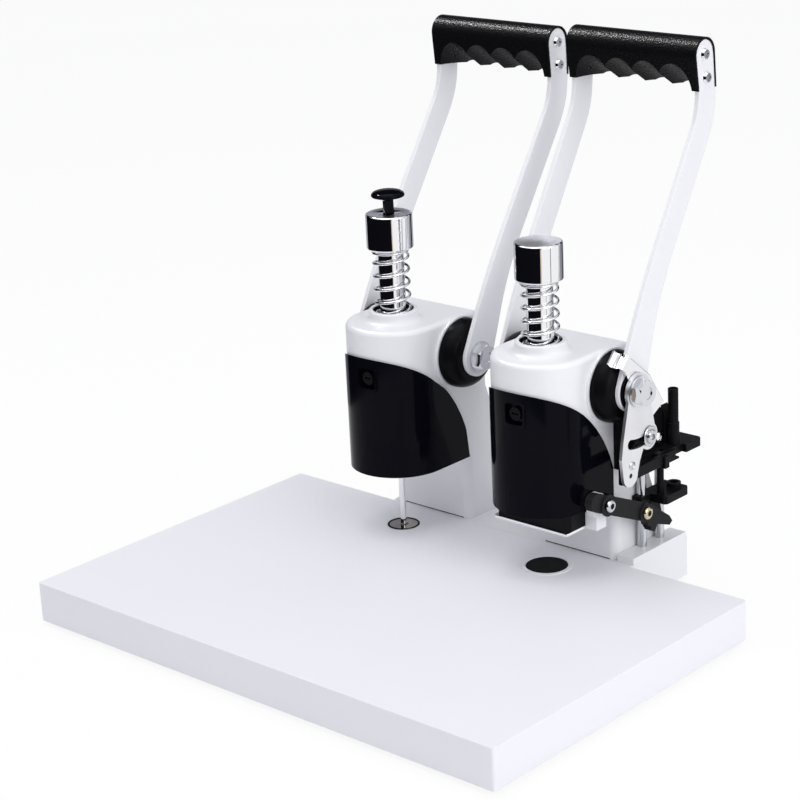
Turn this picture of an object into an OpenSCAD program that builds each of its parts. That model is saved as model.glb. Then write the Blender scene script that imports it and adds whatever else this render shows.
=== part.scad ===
// Hand-worked binding machine: a punch head and a rivet head on one work table, with a tube cutter.
// Millimetres, X to the right, Y to the back, Z up. The origin is on the desk, under the middle of the box.
// Modules draw in the bench frame: Y is 0 at the table's back edge and Z is 0 at the table's top face.

/* [Work table] */
// Width of the table, left to right
table_w = 420; // [380:1:480]
// Depth of the table, front to back
table_d = 267; // [220:1:320]
// Thickness of the table
table_t = 29; // [26:1:40]
// Wall of the table shell
table_wall = 3.5; // [2.5:0.5:5]
// Height of the rubber feet
foot_h = 3; // [2.5:0.5:10]
// Depth of the cast bed behind the table
bed_d = 70; // [66:1:90]

/* [Heads] */
// Distance between the two plunger axes
head_pitch = 135.5; // [128:0.5:160]
// Middle of the two heads, right of the table's middle
head_shift = -3.75; // [-20:0.25:5]
// Plunger axis in front of the table's back edge
axis_front = 32; // [30:0.5:36]
// Radius of the half-round front of a head
head_r = 35; // [34:0.5:40]
// Top face of a head above the table
head_top = 159; // [157:0.5:166]
// Free height under the front covers
throat_h = 50; // [48:0.5:52]
// Wall of the front cover
cover_wall = 1.5; // [1.2:0.1:2]

/* [Levers] */
// Lever axis behind the plunger axis
pivot_back = 30; // [29:0.5:31]
// Lever axis above the table
pivot_h = 132.5; // [130:0.5:134]
// Inner face of a lever arm from the plunger axis
arm_in = 50.9; // [49:0.1:54]
// Thickness of a lever arm
arm_t = 3.5; // [3:0.5:6]
// Width of a lever arm at the grip
arm_w = 20; // [16:0.5:24]
// Backward lean of an arm above its hub, in degrees
arm_lean = 20; // [10:1:26]
// Steepest backward lean of an arm, in degrees
arm_lean_max = 31; // [26:1:36]
// Forward lean of an arm inside the grip, in degrees
top_lean = 8; // [4:1:12]
// Top of the grip above the table
grip_top = 359.4; // [345:0.1:375]
// Depth of the grip, front to back
grip_d = 23.2; // [22.8:0.2:27]
// Distance between two finger hollows of the grip
finger_pitch = 23; // [21:0.5:24]

/* [Plungers] */
// Diameter of a plunger
rod_d = 18.7; // [18:0.1:20]
// Diameter of a plunger cap
cap_d = 33.5; // [30:0.5:40]
// Height of the left cap's underside above the table
left_cap_z = 212; // [207:0.5:217]
// Height of the right cap's underside above the table
right_cap_z = 209.5; // [205:0.5:214]
// Outer diameter of a return spring
spring_d = 27; // [26:0.5:28]
// Wire of a return spring
spring_wire = 2; // [1.6:0.1:2.2]
// Open turns of a return spring
spring_turns = 4.6; // [4:0.1:6]
// Diameter of the hollow punch
punch_d = 4.4; // [4:0.1:6]

/* [Tube cutter] */
// Bore for the tube that is cut
tube_d = 5.2; // [4:0.1:6]
// Diameter of the guide rods
guide_d = 7; // [6:0.5:7.5]
// Underside of the cutter platform above the table
platform_z = 70; // [69:0.5:72]
// Thickness of the cutter platform
platform_t = 6; // [5:0.5:8]

/* [Hidden] */
$fn = 48;
eps = 0.01;
// Clearances: a seated piece in its hole, a turning or sliding fit, and free room beside what moves
seat_gap = 0.1;
run_gap = 0.05;
free_gap = 0.4;
axis_y = -axis_front;
pivot_y = axis_y + pivot_back;
left_x = head_shift - head_pitch / 2;
right_x = head_shift + head_pitch / 2;
left = -1;
right = 1;
sides = [left, right];

// Cast head and its cover
column_front = 3;
column_back = 62;
head_back = pivot_y + 27.5;
head_back_round = 12;
back_plate_low = pivot_h - 29;
back_plate_high = pivot_h + 19;
waist_z = back_plate_low - 3.5;
edge_round = 4;
corner_round = 6.5;
boss_r = 26.5;
boss_x = head_r + 2;
collar_r = 18;
collar_h = 8;
spring_seat_z = head_top + 2;
shaft_d = 16;
crank_reach = pivot_back;
crank_tip_r = 5;
crank_tip_gap = 0.75;
crank_neck = 2;
crank_root = 9;
crank_hub_r = 14;
crank_w = 12;
crank_room = 20.5;
cover_r = head_r + cover_wall;
cover_arc_r = 104;
cover_arc_y = -100;
cover_arc_z = 40;
lock_x = 4;
lock_z = 124;
lock_w = 15;
cup_depth = 4;
cup_wall = 1.5;
lock_front_y = axis_y - sqrt(pow(cover_r, 2) - pow(lock_x, 2));
lock_floor_y = lock_front_y + cup_depth;
lock_seat_y = lock_floor_y + cup_wall;
pocket_top = lock_z + lock_w / 2 + cup_wall + 1;
back_plate_half = 26;
back_plate_t = 3;
back_face = head_back + back_plate_t;
back_screw_x = 21;
back_screw_zs = [back_plate_low + 5, back_plate_high - 5];
small_screw_d = 4;
small_hole_d = small_screw_d + 2 * seat_gap;
pocket_y = axis_y - 16;
pocket_half = 25;
sill = 4;

// Lever arms: hub, lower arc, straight, upper arc, straight end
hub_arm_r = 15;
arm_out = arm_in + arm_t;
arm_top_z = grip_top - grip_d / 2;
arm_rise = arm_top_z - pivot_h;
arm_scale = arm_rise / 215.3;
lower_run = 30 * arm_scale;
lower_arc_r = 360 * arm_scale;
middle_run = 81 * arm_scale;
upper_arc_r = 55 * arm_scale;
arm_steps = 10;
arm_end_r = arm_w / 2;
p_low = lower_run * [sin(arm_lean), cos(arm_lean)];
p_mid = p_low + lower_arc_r * [cos(arm_lean) - cos(arm_lean_max), sin(arm_lean_max) - sin(arm_lean)];
p_bend = p_mid + middle_run * [sin(arm_lean_max), cos(arm_lean_max)];
p_up = p_bend + upper_arc_r * [cos(top_lean) - cos(arm_lean_max), sin(arm_lean_max) + sin(top_lean)];
arm_up = [-sin(top_lean), cos(top_lean)];
p_end = p_up + (arm_rise - p_up[1]) / cos(top_lean) * arm_up;
grip_y = pivot_y + p_end[0];
grip_half = arm_out + 0.6;
tail_h = 36;
tail_z = grip_top - tail_h;
tail_front = grip_y - 8.1;
tail_back = grip_y + 13.3;
finger_r = 15;
finger_slope = 33;
finger_mouth = [grip_y - 8.5, grip_top - 19.7];
left_lever_back = 3;
grip_screw_pitch = 16.5;
sleeve_flange = 3;
sleeve_d = 16;
sleeve_flange_d = 28;
hub_bolt_d = 8;
hub_bolt_depth = 17;
grip_screw_d = 5;
grip_screw_depth = [14, 6.5];
washer_t = 1.5;
hex_h = 6;
hex_w = 17;

// Outer box in Y: from the table's front edge to the back of the grips
function leaned(p, a) = [p[0] * cos(a) + p[1] * sin(a), p[1] * cos(a) - p[0] * sin(a)];
tail_corner = leaned([tail_back - pivot_y, tail_z - pivot_h], left_lever_back);
grip_middle = leaned(p_end, left_lever_back);
rear_y = pivot_y + max(tail_corner[0], grip_middle[0] + grip_d / 2);
mid_y = (table_d - rear_y) / 2;
desk_z = -table_t - foot_h;

// Crank angles at rest, above the level line through the lever axis
left_crank = -18;
right_crank = 28.5;

// Bed
bed_left = left_x - head_r - 5;
bed_right = right_x + head_r + 14.5;
ledge_h = 5;
jaw_half = 25;
jaw_front = axis_y - 24;
jaw_top = -7;
jaw_bottom = -25;
bolt_room_z = -17;
bed_bolt_x = 22;
bed_bolt_y = [14, 42];
die_d = 24;
pad_d = 30;
ring_wall = 1.6;
foot_d = 24;
foot_inset = 26;
bed_foot_y = bed_d - 16;
bed_foot_x = 20;
jaw_screw_x = 19;
jaw_screw_y = axis_y + 14;
bed_bolt_d = 8;
bed_bolt_head_d = 13;

// Punch and ejector
chuck_d = 17;
chuck_z = 52;
chuck_top = 70;
punch_top = 64;
left_cap_h = 25.5;
right_cap_h = 27.8;
cap_socket = 5;
eject_chamber_d = 14;
eject_flange_h = 3;
eject_stem_d = 7.8;
eject_rod_d = 4;
eject_stroke = 7;
eject_step_z = punch_top + eject_stroke + 1;
cap_roof = 4;
left_cap_top = left_cap_z + left_cap_h;
button_d = 24;
button_z = left_cap_top + 10.5;

// Press foot on the right plunger
plate_z = 36;
plate_t = 2;
foot_half = 34;
foot_left = 31;
foot_front = axis_y - 18;
foot_back = axis_y + 22;
foot_top = throat_h - free_gap;
right_rod_z = 44;
rivet_d = 8;

// Cutter and gauge, X from the right plunger axis
body_t = 6;
body_out = head_r + body_t;
post_x = head_r + 13;
post_y = 54;
post_low_d = 8.6;
post_top_d = 7.4;
post_step_z = 92;
post_web_x = post_x - post_low_d / 2 - seat_gap;
post_top_z = 117;
platform_out = head_r + 22;
platform_back = 76;
platform_front = 29;
guide_x = head_r + 4.5;
guide_ys = [27, 48];
stem_y = 38;
stem_d = 5;
gauge_in = head_r + 9.6;
gauge_t = 6;
gauge_out = gauge_in + gauge_t;
gauge_face = gauge_out + 1.4;
gauge_w = 13;
gauge_boss_d = 10;
gauge_screw_d = 6;
gauge_pivot = [15.8, 36.5];
gauge_pin = [-26.8, 55.5];
gauge_tilt = atan2(gauge_pin[1] - gauge_pivot[1], gauge_pivot[0] - gauge_pin[0]);
gauge_slot_r = 3.4;
gauge_front_reach = 59;
gauge_back_reach = 30;
lift_reach = 19;
lift_pin = gauge_pivot + lift_reach * [cos(gauge_tilt), -sin(gauge_tilt)];
lift_pin_d = 4;
tray_z = 38;
tray_t = 6;
tray_step = stem_y - 6;
tray_back = post_y + 6;
tray_front = gauge_pivot[0] + gauge_boss_d / 2 + 0.6;
link_in = arm_out + 3.3;
link_t = 2.4;
link_out = link_in + link_t;
sleeve_end = link_out + 0.3;
guide_bolt = [10.9, -35.3];
guide_bolt_r = norm(guide_bolt);
guide_bolt_a = atan2(guide_bolt[1], guide_bolt[0]);
guide_sweep = 33;
drive_pin = [-8.9, -51.2];
drive_pin_d = 5;
link_foot = [-10.6, -58];
blade_edge = post_y - 5;
blade_t = 1.6;
blade_w = 5;
slide_t = 3.2;
slide_out = platform_out - free_gap;
slide_in = slide_out - slide_t;
slide_z = platform_z - free_gap - blade_t;
slide_h = platform_z + platform_t - slide_z;
slide_room_x = slide_in - free_gap;
slide_room_back = post_y + 3;
keeper_y = [29.6, 34.6];
keeper_t = 1.6;
clip_t = 1.6;
clip_front = [[-3.25, 29.8], [-12.03, 10], [-13.6, 10.6], [-4.8, 30.4]];
clip_hook = [[-3.25, 29.8], [-4.8, 26.2], [-6.4, 26.8], [-4.8, 30.4]];
clip_hook_in = arm_in - 8;

// Coils: rings a turn, sides of the wire and close turns at each end
coil_rings = 8;
coil_sides = 6;
end_turns = 0.8;

// Shared frames and shapes
module bench() {
  translate([0, mid_y, -desk_z]) children();
}

module at_head(x) {
  bench() translate([x, 0, 0]) children();
}

module along_x(x0, x1) {
  translate([x0, 0, 0]) rotate([90, 0, 90]) linear_extrude(x1 - x0) children();
}

module along_y(y0, y1) {
  translate([0, y1, 0]) rotate([90, 0, 0]) linear_extrude(y1 - y0) children();
}

module x_rod(x0, x1, yz, d) {
  translate([x0, yz[0], yz[1]]) rotate([0, 90, 0]) cylinder(h = x1 - x0, d = d);
}

module z_rod(x, y, z0, z1, d) {
  translate([x, y, z0]) cylinder(h = z1 - z0, d = d);
}

module block(x, y, z) {
  translate([x[0], y[0], z[0]]) cube([x[1] - x[0], y[1] - y[0], z[1] - z[0]]);
}

module round_rect(x, y, r) {
  translate([x[0] + r, y[0]]) square([x[1] - x[0] - 2 * r, y[1] - y[0]]);
  translate([x[0], y[0] + r]) square([x[1] - x[0], y[1] - y[0] - 2 * r]);
  for (cx = [x[0] + r, x[1] - r], cy = [y[0] + r, y[1] - r]) {
    translate([cx, cy]) circle(r);
  }
}

function arc(c, r, a0, a1, n = 8) =
  [for (i = [0:n]) let (a = a0 + (a1 - a0) * i / n) c + r * [cos(a), sin(a)]];

// One unbroken wire from z0 to z1: close turns at both ends, open turns between, as a six-sided tube
function coil_z(t, turns, close, open) =
  t < end_turns ? close * t
  : t < end_turns + turns ? close * end_turns + open * (t - end_turns)
  : close * (t - turns) + open * turns;
function coil_point(t, r, z0, turns, close, open) =
  [r * cos(360 * t), r * sin(360 * t), z0 + coil_z(t, turns, close, open)];

module coil(r, wire, z0, z1, turns) {
  close = wire + 0.7;
  open = (z1 - z0 - wire - 2 * close * end_turns) / turns;
  total = turns + 2 * end_turns;
  n = ceil(total * coil_rings);
  ring = wire / 2 * [for (j = [0:coil_sides - 1]) [cos(60 * j), sin(60 * j)]];
  mids = [for (i = [0:n]) coil_point(i * total / n, r, z0 + wire / 2, turns, close, open)];
  points = [for (i = [0:n]) for (j = [0:coil_sides - 1])
    let (a = 360 * i * total / n)
    mids[i] + [ring[j][0] * cos(a), ring[j][0] * sin(a), ring[j][1]]];
  last = n * coil_sides;
  faces = concat(
    [for (i = [0:n - 1]) for (j = [0:coil_sides - 1])
      let (k = i * coil_sides, m = (j + 1) % coil_sides) [k + j, k + coil_sides + m, k + coil_sides + j]],
    [for (i = [0:n - 1]) for (j = [0:coil_sides - 1])
      let (k = i * coil_sides, m = (j + 1) % coil_sides) [k + j, k + m, k + coil_sides + m]],
    [for (j = [1:coil_sides - 2]) [0, j + 1, j]],
    [for (j = [1:coil_sides - 2]) [last, last + j, last + j + 1]]);
  turn = floor(n / total);
  gap = min([for (i = [0:n - turn]) for (k = [turn - 1:turn + 1])
    i + k > n ? r : norm(mids[i + k] - mids[i])]) - wire;
  echo(str("least gap of a coil to itself: ", gap));
  polyhedron(points, faces, convexity = 10);
}

// Work table and bed
module table_shell() {
  color("whitesmoke") bench() {
    difference() {
      translate([0, 0, -table_t]) linear_extrude(table_t) table_plan(0);
      translate([0, 0, -table_t - eps]) linear_extrude(table_t - table_wall + eps) table_plan(table_wall);
      for (x = [left_x, right_x]) {
        half = jaw_half + free_gap;
        block([x - half, x + half], [-2 * table_wall, 1], [-table_t - 1, jaw_top + 1]);
      }
      z_rod(left_x, axis_y, -table_wall - 1, 1, die_d + 2 * seat_gap);
      z_rod(right_x, axis_y, -table_wall - 1, 1, pad_d + 2 * ring_wall + 2 * seat_gap);
    }
    table_ribs();
    table_posts();
  }
}

module table_plan(inset) {
  round_rect([-table_w / 2 + inset, table_w / 2 - inset], [-table_d + inset, -inset], 2);
}

module table_ribs() {
  rib_t = 3;
  rib_z = [-14, -table_wall + eps];
  for (x = [-table_w / 4, 0, table_w / 4]) {
    block([x - rib_t / 2, x + rib_t / 2], [-table_d + table_wall - eps, jaw_front - 8], rib_z);
  }
  for (y = [jaw_front - 12, -table_d / 2 - 20]) {
    half = table_w / 2 - table_wall + eps;
    block([-half, half], [y - rib_t / 2, y + rib_t / 2], rib_z);
  }
}

function corner_feet() =
  [for (sx = sides, y = [-table_d + foot_inset, -foot_inset]) [sx * (table_w / 2 - foot_inset), y]];
function bed_feet() = [for (sx = sides) [head_shift + sx * bed_foot_x, bed_foot_y]];
function jaw_screws() = [for (x = [left_x, right_x], sx = sides) [x + sx * jaw_screw_x, jaw_screw_y]];

module table_posts() {
  difference() {
    union() {
      for (p = corner_feet()) {
        z_rod(p[0], p[1], -table_t, -table_wall + eps, foot_d);
      }
      for (p = jaw_screws()) {
        z_rod(p[0], p[1], jaw_top, -table_wall + eps, 9);
      }
    }
    for (p = jaw_screws()) {
      z_rod(p[0], p[1], jaw_top - 1, -table_wall, small_hole_d);
    }
  }
}

module bed() {
  color("white") bench() {
    difference() {
      union() {
        translate([0, 0, -table_t]) linear_extrude(table_t) round_rect([bed_left, bed_right], [0, bed_d], 4);
        block([right_x + head_r + 0.5, bed_right], [column_front, bed_d - 4], [-4, ledge_h]);
        for (x = [left_x, right_x]) {
          block([x - jaw_half, x + jaw_half], [jaw_front, 4], [jaw_bottom, jaw_top]);
        }
      }
      for (x = [left_x, right_x]) {
        z_rod(x, axis_y, jaw_bottom - 1, jaw_top + 1, 10);
        for (sx = sides, y = bed_bolt_y) {
          z_rod(x + sx * bed_bolt_x, y, bolt_room_z - 1, 1, bed_bolt_d + 2 * seat_gap);
          z_rod(x + sx * bed_bolt_x, y, -table_t - 1, bolt_room_z, bed_bolt_head_d + 3);
        }
      }
      for (p = jaw_screws()) {
        z_rod(p[0], p[1], jaw_bottom - 1, jaw_top + 1, small_hole_d);
      }
      for (y = guide_ys) {
        z_rod(right_x + guide_x, y, -eps, ledge_h + 1, guide_d);
      }
    }
  }
}

module feet() {
  color("dimgray") bench() {
    for (p = concat(corner_feet(), bed_feet())) {
      translate([p[0], p[1], desk_z]) {
        cylinder(h = 1, d1 = foot_d - 2, d2 = foot_d);
        translate([0, 0, 1]) cylinder(h = foot_h - 1, d = foot_d);
      }
    }
  }
}

module table_screws() {
  color("silver") bench() {
    for (p = jaw_screws()) {
      z_rod(p[0], p[1], jaw_bottom - 3, jaw_bottom, 8);
      z_rod(p[0], p[1], jaw_bottom - eps, -table_wall - 1, small_screw_d);
    }
  }
}

module bed_bolts() {
  color("dimgray") bench() {
    for (x = [left_x, right_x], sx = sides, y = bed_bolt_y) {
      z_rod(x + sx * bed_bolt_x, y, bolt_room_z - 8, bolt_room_z, bed_bolt_head_d);
      z_rod(x + sx * bed_bolt_x, y, bolt_room_z - eps, 20, bed_bolt_d);
    }
  }
}

module die_plate() {
  color("silver") at_head(left_x) difference() {
    z_rod(0, axis_y, jaw_top, 0.3, die_d);
    z_rod(0, axis_y, jaw_top - 1, 1, punch_d + 0.6);
    translate([0, axis_y, -1.2]) cylinder(h = 1.6, d1 = punch_d + 0.6, d2 = punch_d + 3);
  }
}

module press_pad() {
  color("black") at_head(right_x) z_rod(0, axis_y, jaw_top, 0.6, pad_d);
}

module pad_ring() {
  color("white") at_head(right_x) difference() {
    union() {
      z_rod(0, axis_y, jaw_top, eps, pad_d + 2 * ring_wall);
      z_rod(0, axis_y, 0, 0.8, pad_d + 2 * ring_wall + 3);
    }
    z_rod(0, axis_y, jaw_top - 1, 2, pad_d + 2 * seat_gap);
  }
}

// Heads
function half_profile(r, z0, z1, round) =
  concat([[0, z0], [r, z0]], arc([r - round, z1 - round], round, 0, 90, 6), [[0, z1]]);

module head_prism(r, z0, z1, round, back) {
  translate([0, axis_y, 0]) rotate_extrude($fn = 96) polygon(half_profile(r, z0, z1, round));
  along_y(axis_y, back) {
    polygon(half_profile(r, z0, z1, round));
    mirror([1, 0]) polygon(half_profile(r, z0, z1, round));
  }
}

module head_side() {
  polygon(concat(
    [[axis_y - head_r - 1, throat_h], [column_front, throat_h], [column_front, 0], [column_back, 0],
      [head_back, waist_z]],
    arc([head_back - head_back_round, head_top - head_back_round], head_back_round, 0, 90),
    [[axis_y - head_r - 1, head_top]]));
}

function collar_profile() = concat(
  [[0, head_top - 2], [collar_r + 5, head_top - 2], [collar_r + 5, head_top]],
  arc([collar_r + 5, head_top + 5], 5, -90, -180, 6),
  [[collar_r, head_top + collar_h - 0.8], [collar_r - 0.8, head_top + collar_h], [0, head_top + collar_h]]);

module head_casting() {
  difference() {
    union() {
      intersection() {
        union() {
          head_prism(head_r, throat_h, head_top, edge_round, head_back);
          linear_extrude(pivot_h) round_rect([-head_r, head_r], [column_front, column_back], corner_round);
        }
        along_x(-head_r - 1, head_r + 1) head_side();
      }
      x_rod(-boss_x, boss_x, [pivot_y, pivot_h], 2 * boss_r);
      translate([0, axis_y, 0]) rotate_extrude() polygon(collar_profile());
    }
    head_bores();
    front_pocket();
    back_window();
    for (sx = sides, y = bed_bolt_y) {
      z_rod(sx * bed_bolt_x, y, -1, 22, bed_bolt_d + 2 * seat_gap);
    }
  }
  lock_post();
}

module head_bores() {
  z_rod(0, axis_y, throat_h - 1, spring_seat_z + 1, rod_d + 2 * run_gap);
  z_rod(0, axis_y, spring_seat_z, head_top + collar_h + 1, spring_d + 3);
  x_rod(-boss_x - 1, boss_x + 1, [pivot_y, pivot_h], shaft_d + 2 * run_gap);
  room = crank_w / 2 + 1;
  x_rod(-room, room, [pivot_y, pivot_h], 32);
  block([-room, room], [axis_y - crank_tip_r - 1.5, pivot_y], [pivot_h - crank_room, pivot_h + crank_room]);
}

module front_pocket() {
  along_y(axis_y - head_r - 1, pocket_y)
    round_rect([-pocket_half, pocket_half], [throat_h + sill, pocket_top], 6);
}

module back_window() {
  along_y(pivot_y, head_back + 1) round_rect([-17, 17], [pivot_h - 18, pivot_h + 10], 3);
  for (sx = sides, z = back_screw_zs) {
    along_y(head_back - 12, head_back + 1) translate([sx * back_screw_x, z]) circle(d = small_hole_d);
  }
}

module lock_post() {
  difference() {
    along_y(lock_seat_y, pocket_y + eps) translate([lock_x, lock_z]) square([10, 12], center = true);
    along_y(lock_seat_y - 1, pocket_y) translate([lock_x, lock_z]) circle(d = small_hole_d);
  }
}

module left_head() {
  color("whitesmoke") at_head(left_x) head_casting();
}

// The right head also carries the boss on which the gauge lever turns
module right_head() {
  color("whitesmoke") at_head(right_x) difference() {
    union() {
      head_casting();
      x_rod(head_r - 1, gauge_in - free_gap, gauge_pivot, gauge_boss_d);
    }
    x_rod(head_r - 8, gauge_in, gauge_pivot, gauge_screw_d);
  }
}

module cover_side() {
  intersection() {
    translate([cover_arc_y, cover_arc_z]) circle(cover_arc_r, $fn = 120);
    translate([axis_y - cover_r - 1, throat_h]) square([cover_r - axis_y, head_top]);
  }
}

module front_cover() {
  difference() {
    union() {
      intersection() {
        difference() {
          head_prism(cover_r, throat_h, head_top, edge_round, column_front + 1);
          head_prism(head_r + seat_gap, throat_h - 1, head_top + 1, eps, column_front + 2);
        }
        along_x(-cover_r - 1, cover_r + 1) cover_side();
      }
      along_y(lock_front_y + 0.5, lock_seat_y) lock_square(cup_wall);
    }
    along_y(lock_front_y - 4, lock_floor_y) lock_square(0);
    along_y(lock_floor_y - 1, lock_seat_y + 1) translate([lock_x, lock_z]) circle(d = small_hole_d);
  }
}

module lock_square(grow) {
  half = lock_w / 2 + grow;
  round_rect([lock_x - half, lock_x + half], [lock_z - half, lock_z + half], 3);
}

module left_cover() {
  color("black") at_head(left_x) front_cover();
}

module right_cover() {
  color("black") at_head(right_x) front_cover();
}

module cover_screws() {
  color("dimgray") for (x = [left_x, right_x]) at_head(x) {
    along_y(lock_floor_y - 2.5, lock_floor_y) translate([lock_x, lock_z]) difference() {
      circle(d = 9.5);
      square([6, 1.6], center = true);
    }
    along_y(lock_floor_y - 1, lock_seat_y + 9) translate([lock_x, lock_z]) circle(d = small_screw_d);
  }
}

module back_plate() {
  difference() {
    along_y(head_back, back_face)
      round_rect([-back_plate_half, back_plate_half], [back_plate_low, back_plate_high], 4);
    for (sx = sides, z = back_screw_zs) {
      along_y(head_back - 1, back_face + 1) translate([sx * back_screw_x, z]) circle(d = small_hole_d);
    }
  }
}

module left_back_plate() {
  color("gainsboro") at_head(left_x) back_plate();
}

module right_back_plate() {
  color("gainsboro") at_head(right_x) back_plate();
}

module back_plate_screws() {
  color("silver") for (x = [left_x, right_x], sx = sides, z = back_screw_zs) at_head(x) {
    along_y(head_back - 10, back_face + eps) translate([sx * back_screw_x, z]) circle(d = small_screw_d);
    along_y(back_face, back_face + 2.4) translate([sx * back_screw_x, z]) circle(d = 7.5);
  }
}

// Domed covers over the shaft ends, fixed to the head
function hub_profile(h) = concat(
  [[shaft_d / 2 + free_gap, 0], [boss_r - 1, 0], [boss_r - 1, 2]],
  [for (i = [1:8]) [18 + (boss_r - 19) * cos(90 * i / 8), 2 + (h - 2) * sin(90 * i / 8)]],
  [[shaft_d / 2 + free_gap, h]]);

module hub_covers() {
  for (s = sides) {
    translate([s * boss_x, pivot_y, pivot_h]) rotate([0, s * 90, 0])
      rotate_extrude($fn = 72) polygon(hub_profile(arm_in - free_gap - boss_x));
  }
}

module left_hub_covers() {
  color("black") at_head(left_x) hub_covers();
}

module right_hub_covers() {
  color("black") at_head(right_x) hub_covers();
}

// Plungers, caps and return springs
module crank_slot(angle) {
  z = pivot_h + crank_reach * sin(angle);
  half = crank_w / 2 + 0.3;
  tall = crank_tip_r + crank_tip_gap;
  block([-half, half], [axis_y - crank_tip_r - 0.7, axis_y + rod_d], [z - tall, z + tall]);
}

module left_plunger() {
  color("silver") at_head(left_x) difference() {
    z_rod(0, axis_y, chuck_top, left_cap_z + cap_socket, rod_d);
    crank_slot(left_crank);
    z_rod(0, axis_y, chuck_top - 1, left_cap_z + cap_socket + 1, eject_rod_d + 1);
  }
}

module right_plunger() {
  color("silver") at_head(right_x) difference() {
    z_rod(0, axis_y, right_rod_z, right_cap_z + cap_socket, rod_d);
    crank_slot(right_crank);
  }
}

module cap_blank(z, h, dome) {
  edge = 1.4;
  translate([0, axis_y, z]) rotate_extrude($fn = 72) polygon(concat(
    [[0, 0], [cap_d / 2 - edge, 0], [cap_d / 2, edge]],
    arc([cap_d / 2 - edge, h - edge - dome], edge, 0, 75, 4),
    [[cap_d / 4, h - 0.35 * dome], [0, h]]));
}

module left_cap() {
  color("silver") at_head(left_x) difference() {
    cap_blank(left_cap_z, left_cap_h, 0);
    z_rod(0, axis_y, left_cap_z - 1, left_cap_z + cap_socket, rod_d);
    z_rod(0, axis_y, left_cap_z, left_cap_top - cap_roof, eject_chamber_d);
    z_rod(0, axis_y, left_cap_z, left_cap_top + 1, eject_stem_d + 2 * run_gap);
  }
}

module right_cap() {
  color("silver") at_head(right_x) difference() {
    cap_blank(right_cap_z, right_cap_h, 1.2);
    z_rod(0, axis_y, right_cap_z - 1, right_cap_z + cap_socket, rod_d);
  }
}

module return_spring(cap_z) {
  translate([0, axis_y, 0])
    coil((spring_d - spring_wire) / 2, spring_wire, spring_seat_z + seat_gap, cap_z - seat_gap, spring_turns);
}

module left_return_spring() {
  color("silver") at_head(left_x) return_spring(left_cap_z);
}

module right_return_spring() {
  color("silver") at_head(right_x) return_spring(right_cap_z);
}

// Lever: cross shaft, crank finger, two arms and a grip
module lever_shaft() {
  difference() {
    x_rod(-arm_in, arm_in, [pivot_y, pivot_h], shaft_d);
    for (s = sides) {
      x_rod(s * arm_in - 20, s * arm_in + 20, [pivot_y, pivot_h], hub_bolt_d + 2 * seat_gap);
    }
  }
}

module left_shaft() {
  color("silver") at_head(left_x) lever_shaft();
}

module right_shaft() {
  color("silver") at_head(right_x) lever_shaft();
}

// The finger is thin where it stands in the plunger's slot, and its round tip rolls between the slot's faces
module crank_finger(angle, fork) {
  crank_thin = pivot_back - rod_d / 2 - 1;
  translate([0, pivot_y, pivot_h]) difference() {
    along_x(-crank_w / 2, crank_w / 2) difference() {
      union() {
        circle(crank_hub_r);
        rotate(180 - angle) {
          polygon([[0, -crank_root], [crank_thin, -crank_neck], [crank_reach, -crank_neck],
            [crank_reach, crank_neck], [crank_thin, crank_neck], [0, crank_root]]);
          translate([crank_reach, 0]) circle(crank_tip_r);
        }
      }
      circle(d = shaft_d);
    }
    if (fork > 0) {
      along_x(-fork / 2, fork / 2) rotate(180 - angle)
        translate([crank_hub_r + 3, -crank_hub_r]) square(2 * crank_hub_r);
    }
  }
}

module left_crank_finger() {
  color("dimgray") at_head(left_x) crank_finger(left_crank, eject_rod_d + 2);
}

module right_crank_finger() {
  color("dimgray") at_head(right_x) crank_finger(right_crank, 0);
}

// Stations of an arm from the hub: place, lean and half width
function arm_stations() = concat(
  [[[0, 0], arm_lean, hub_arm_r]],
  [for (i = [0:arm_steps]) let (a = arm_lean + (arm_lean_max - arm_lean) * i / arm_steps)
    [p_low + lower_arc_r * [cos(arm_lean) - cos(a), sin(a) - sin(arm_lean)], a,
      arm_w / 2 + 3 * pow(1 - i / arm_steps, 2)]],
  [for (i = [0:arm_steps]) let (a = arm_lean_max - (arm_lean_max + top_lean) * i / arm_steps)
    [p_bend + upper_arc_r * [cos(a) - cos(arm_lean_max), sin(arm_lean_max) - sin(a)], a, arm_w / 2]],
  [[p_end, -top_lean, arm_w / 2]]);

module arm_shape(gap) {
  s = arm_stations();
  n = len(s) - 1;
  front = [for (q = s) q[0] + (q[2] + gap) * [-cos(q[1]), sin(q[1])]];
  back = [for (i = [n:-1:0]) s[i][0] - (s[i][2] + gap) * [-cos(s[i][1]), sin(s[i][1])]];
  polygon(concat(front, arc(s[n][0], arm_end_r + gap, 165 + top_lean, 15 + top_lean, 10), back,
    arc([0, 0], hub_arm_r + gap, -30, -190, 18)));
}

module arm_outline() {
  difference() {
    arm_shape(0);
    circle(d = hub_bolt_d + 2 * seat_gap);
    for (p = grip_screw_places()) {
      translate(p) circle(d = grip_screw_d + 2 * seat_gap);
    }
  }
}

// Grip screws from the lever axis, the upper one first
function grip_screw_places() = [p_end, p_end - grip_screw_pitch * arm_up];

module lever_arm(side) {
  x0 = side > 0 ? arm_in : -arm_out;
  translate([0, pivot_y, pivot_h]) along_x(x0, x0 + arm_t) arm_outline();
}

// The left lever stands further back than the right one
module left_lean() {
  translate([left_x, pivot_y, pivot_h]) rotate([-left_lever_back, 0, 0]) translate([0, -pivot_y, -pivot_h])
    children();
}

module left_lever_left_arm() {
  color("whitesmoke") bench() left_lean() lever_arm(left);
}

module left_lever_right_arm() {
  color("whitesmoke") bench() left_lean() lever_arm(right);
}

module right_lever_left_arm() {
  color("whitesmoke") at_head(right_x) lever_arm(left);
}

module right_lever_right_arm() {
  color("whitesmoke") at_head(right_x) lever_arm(right);
}

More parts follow.
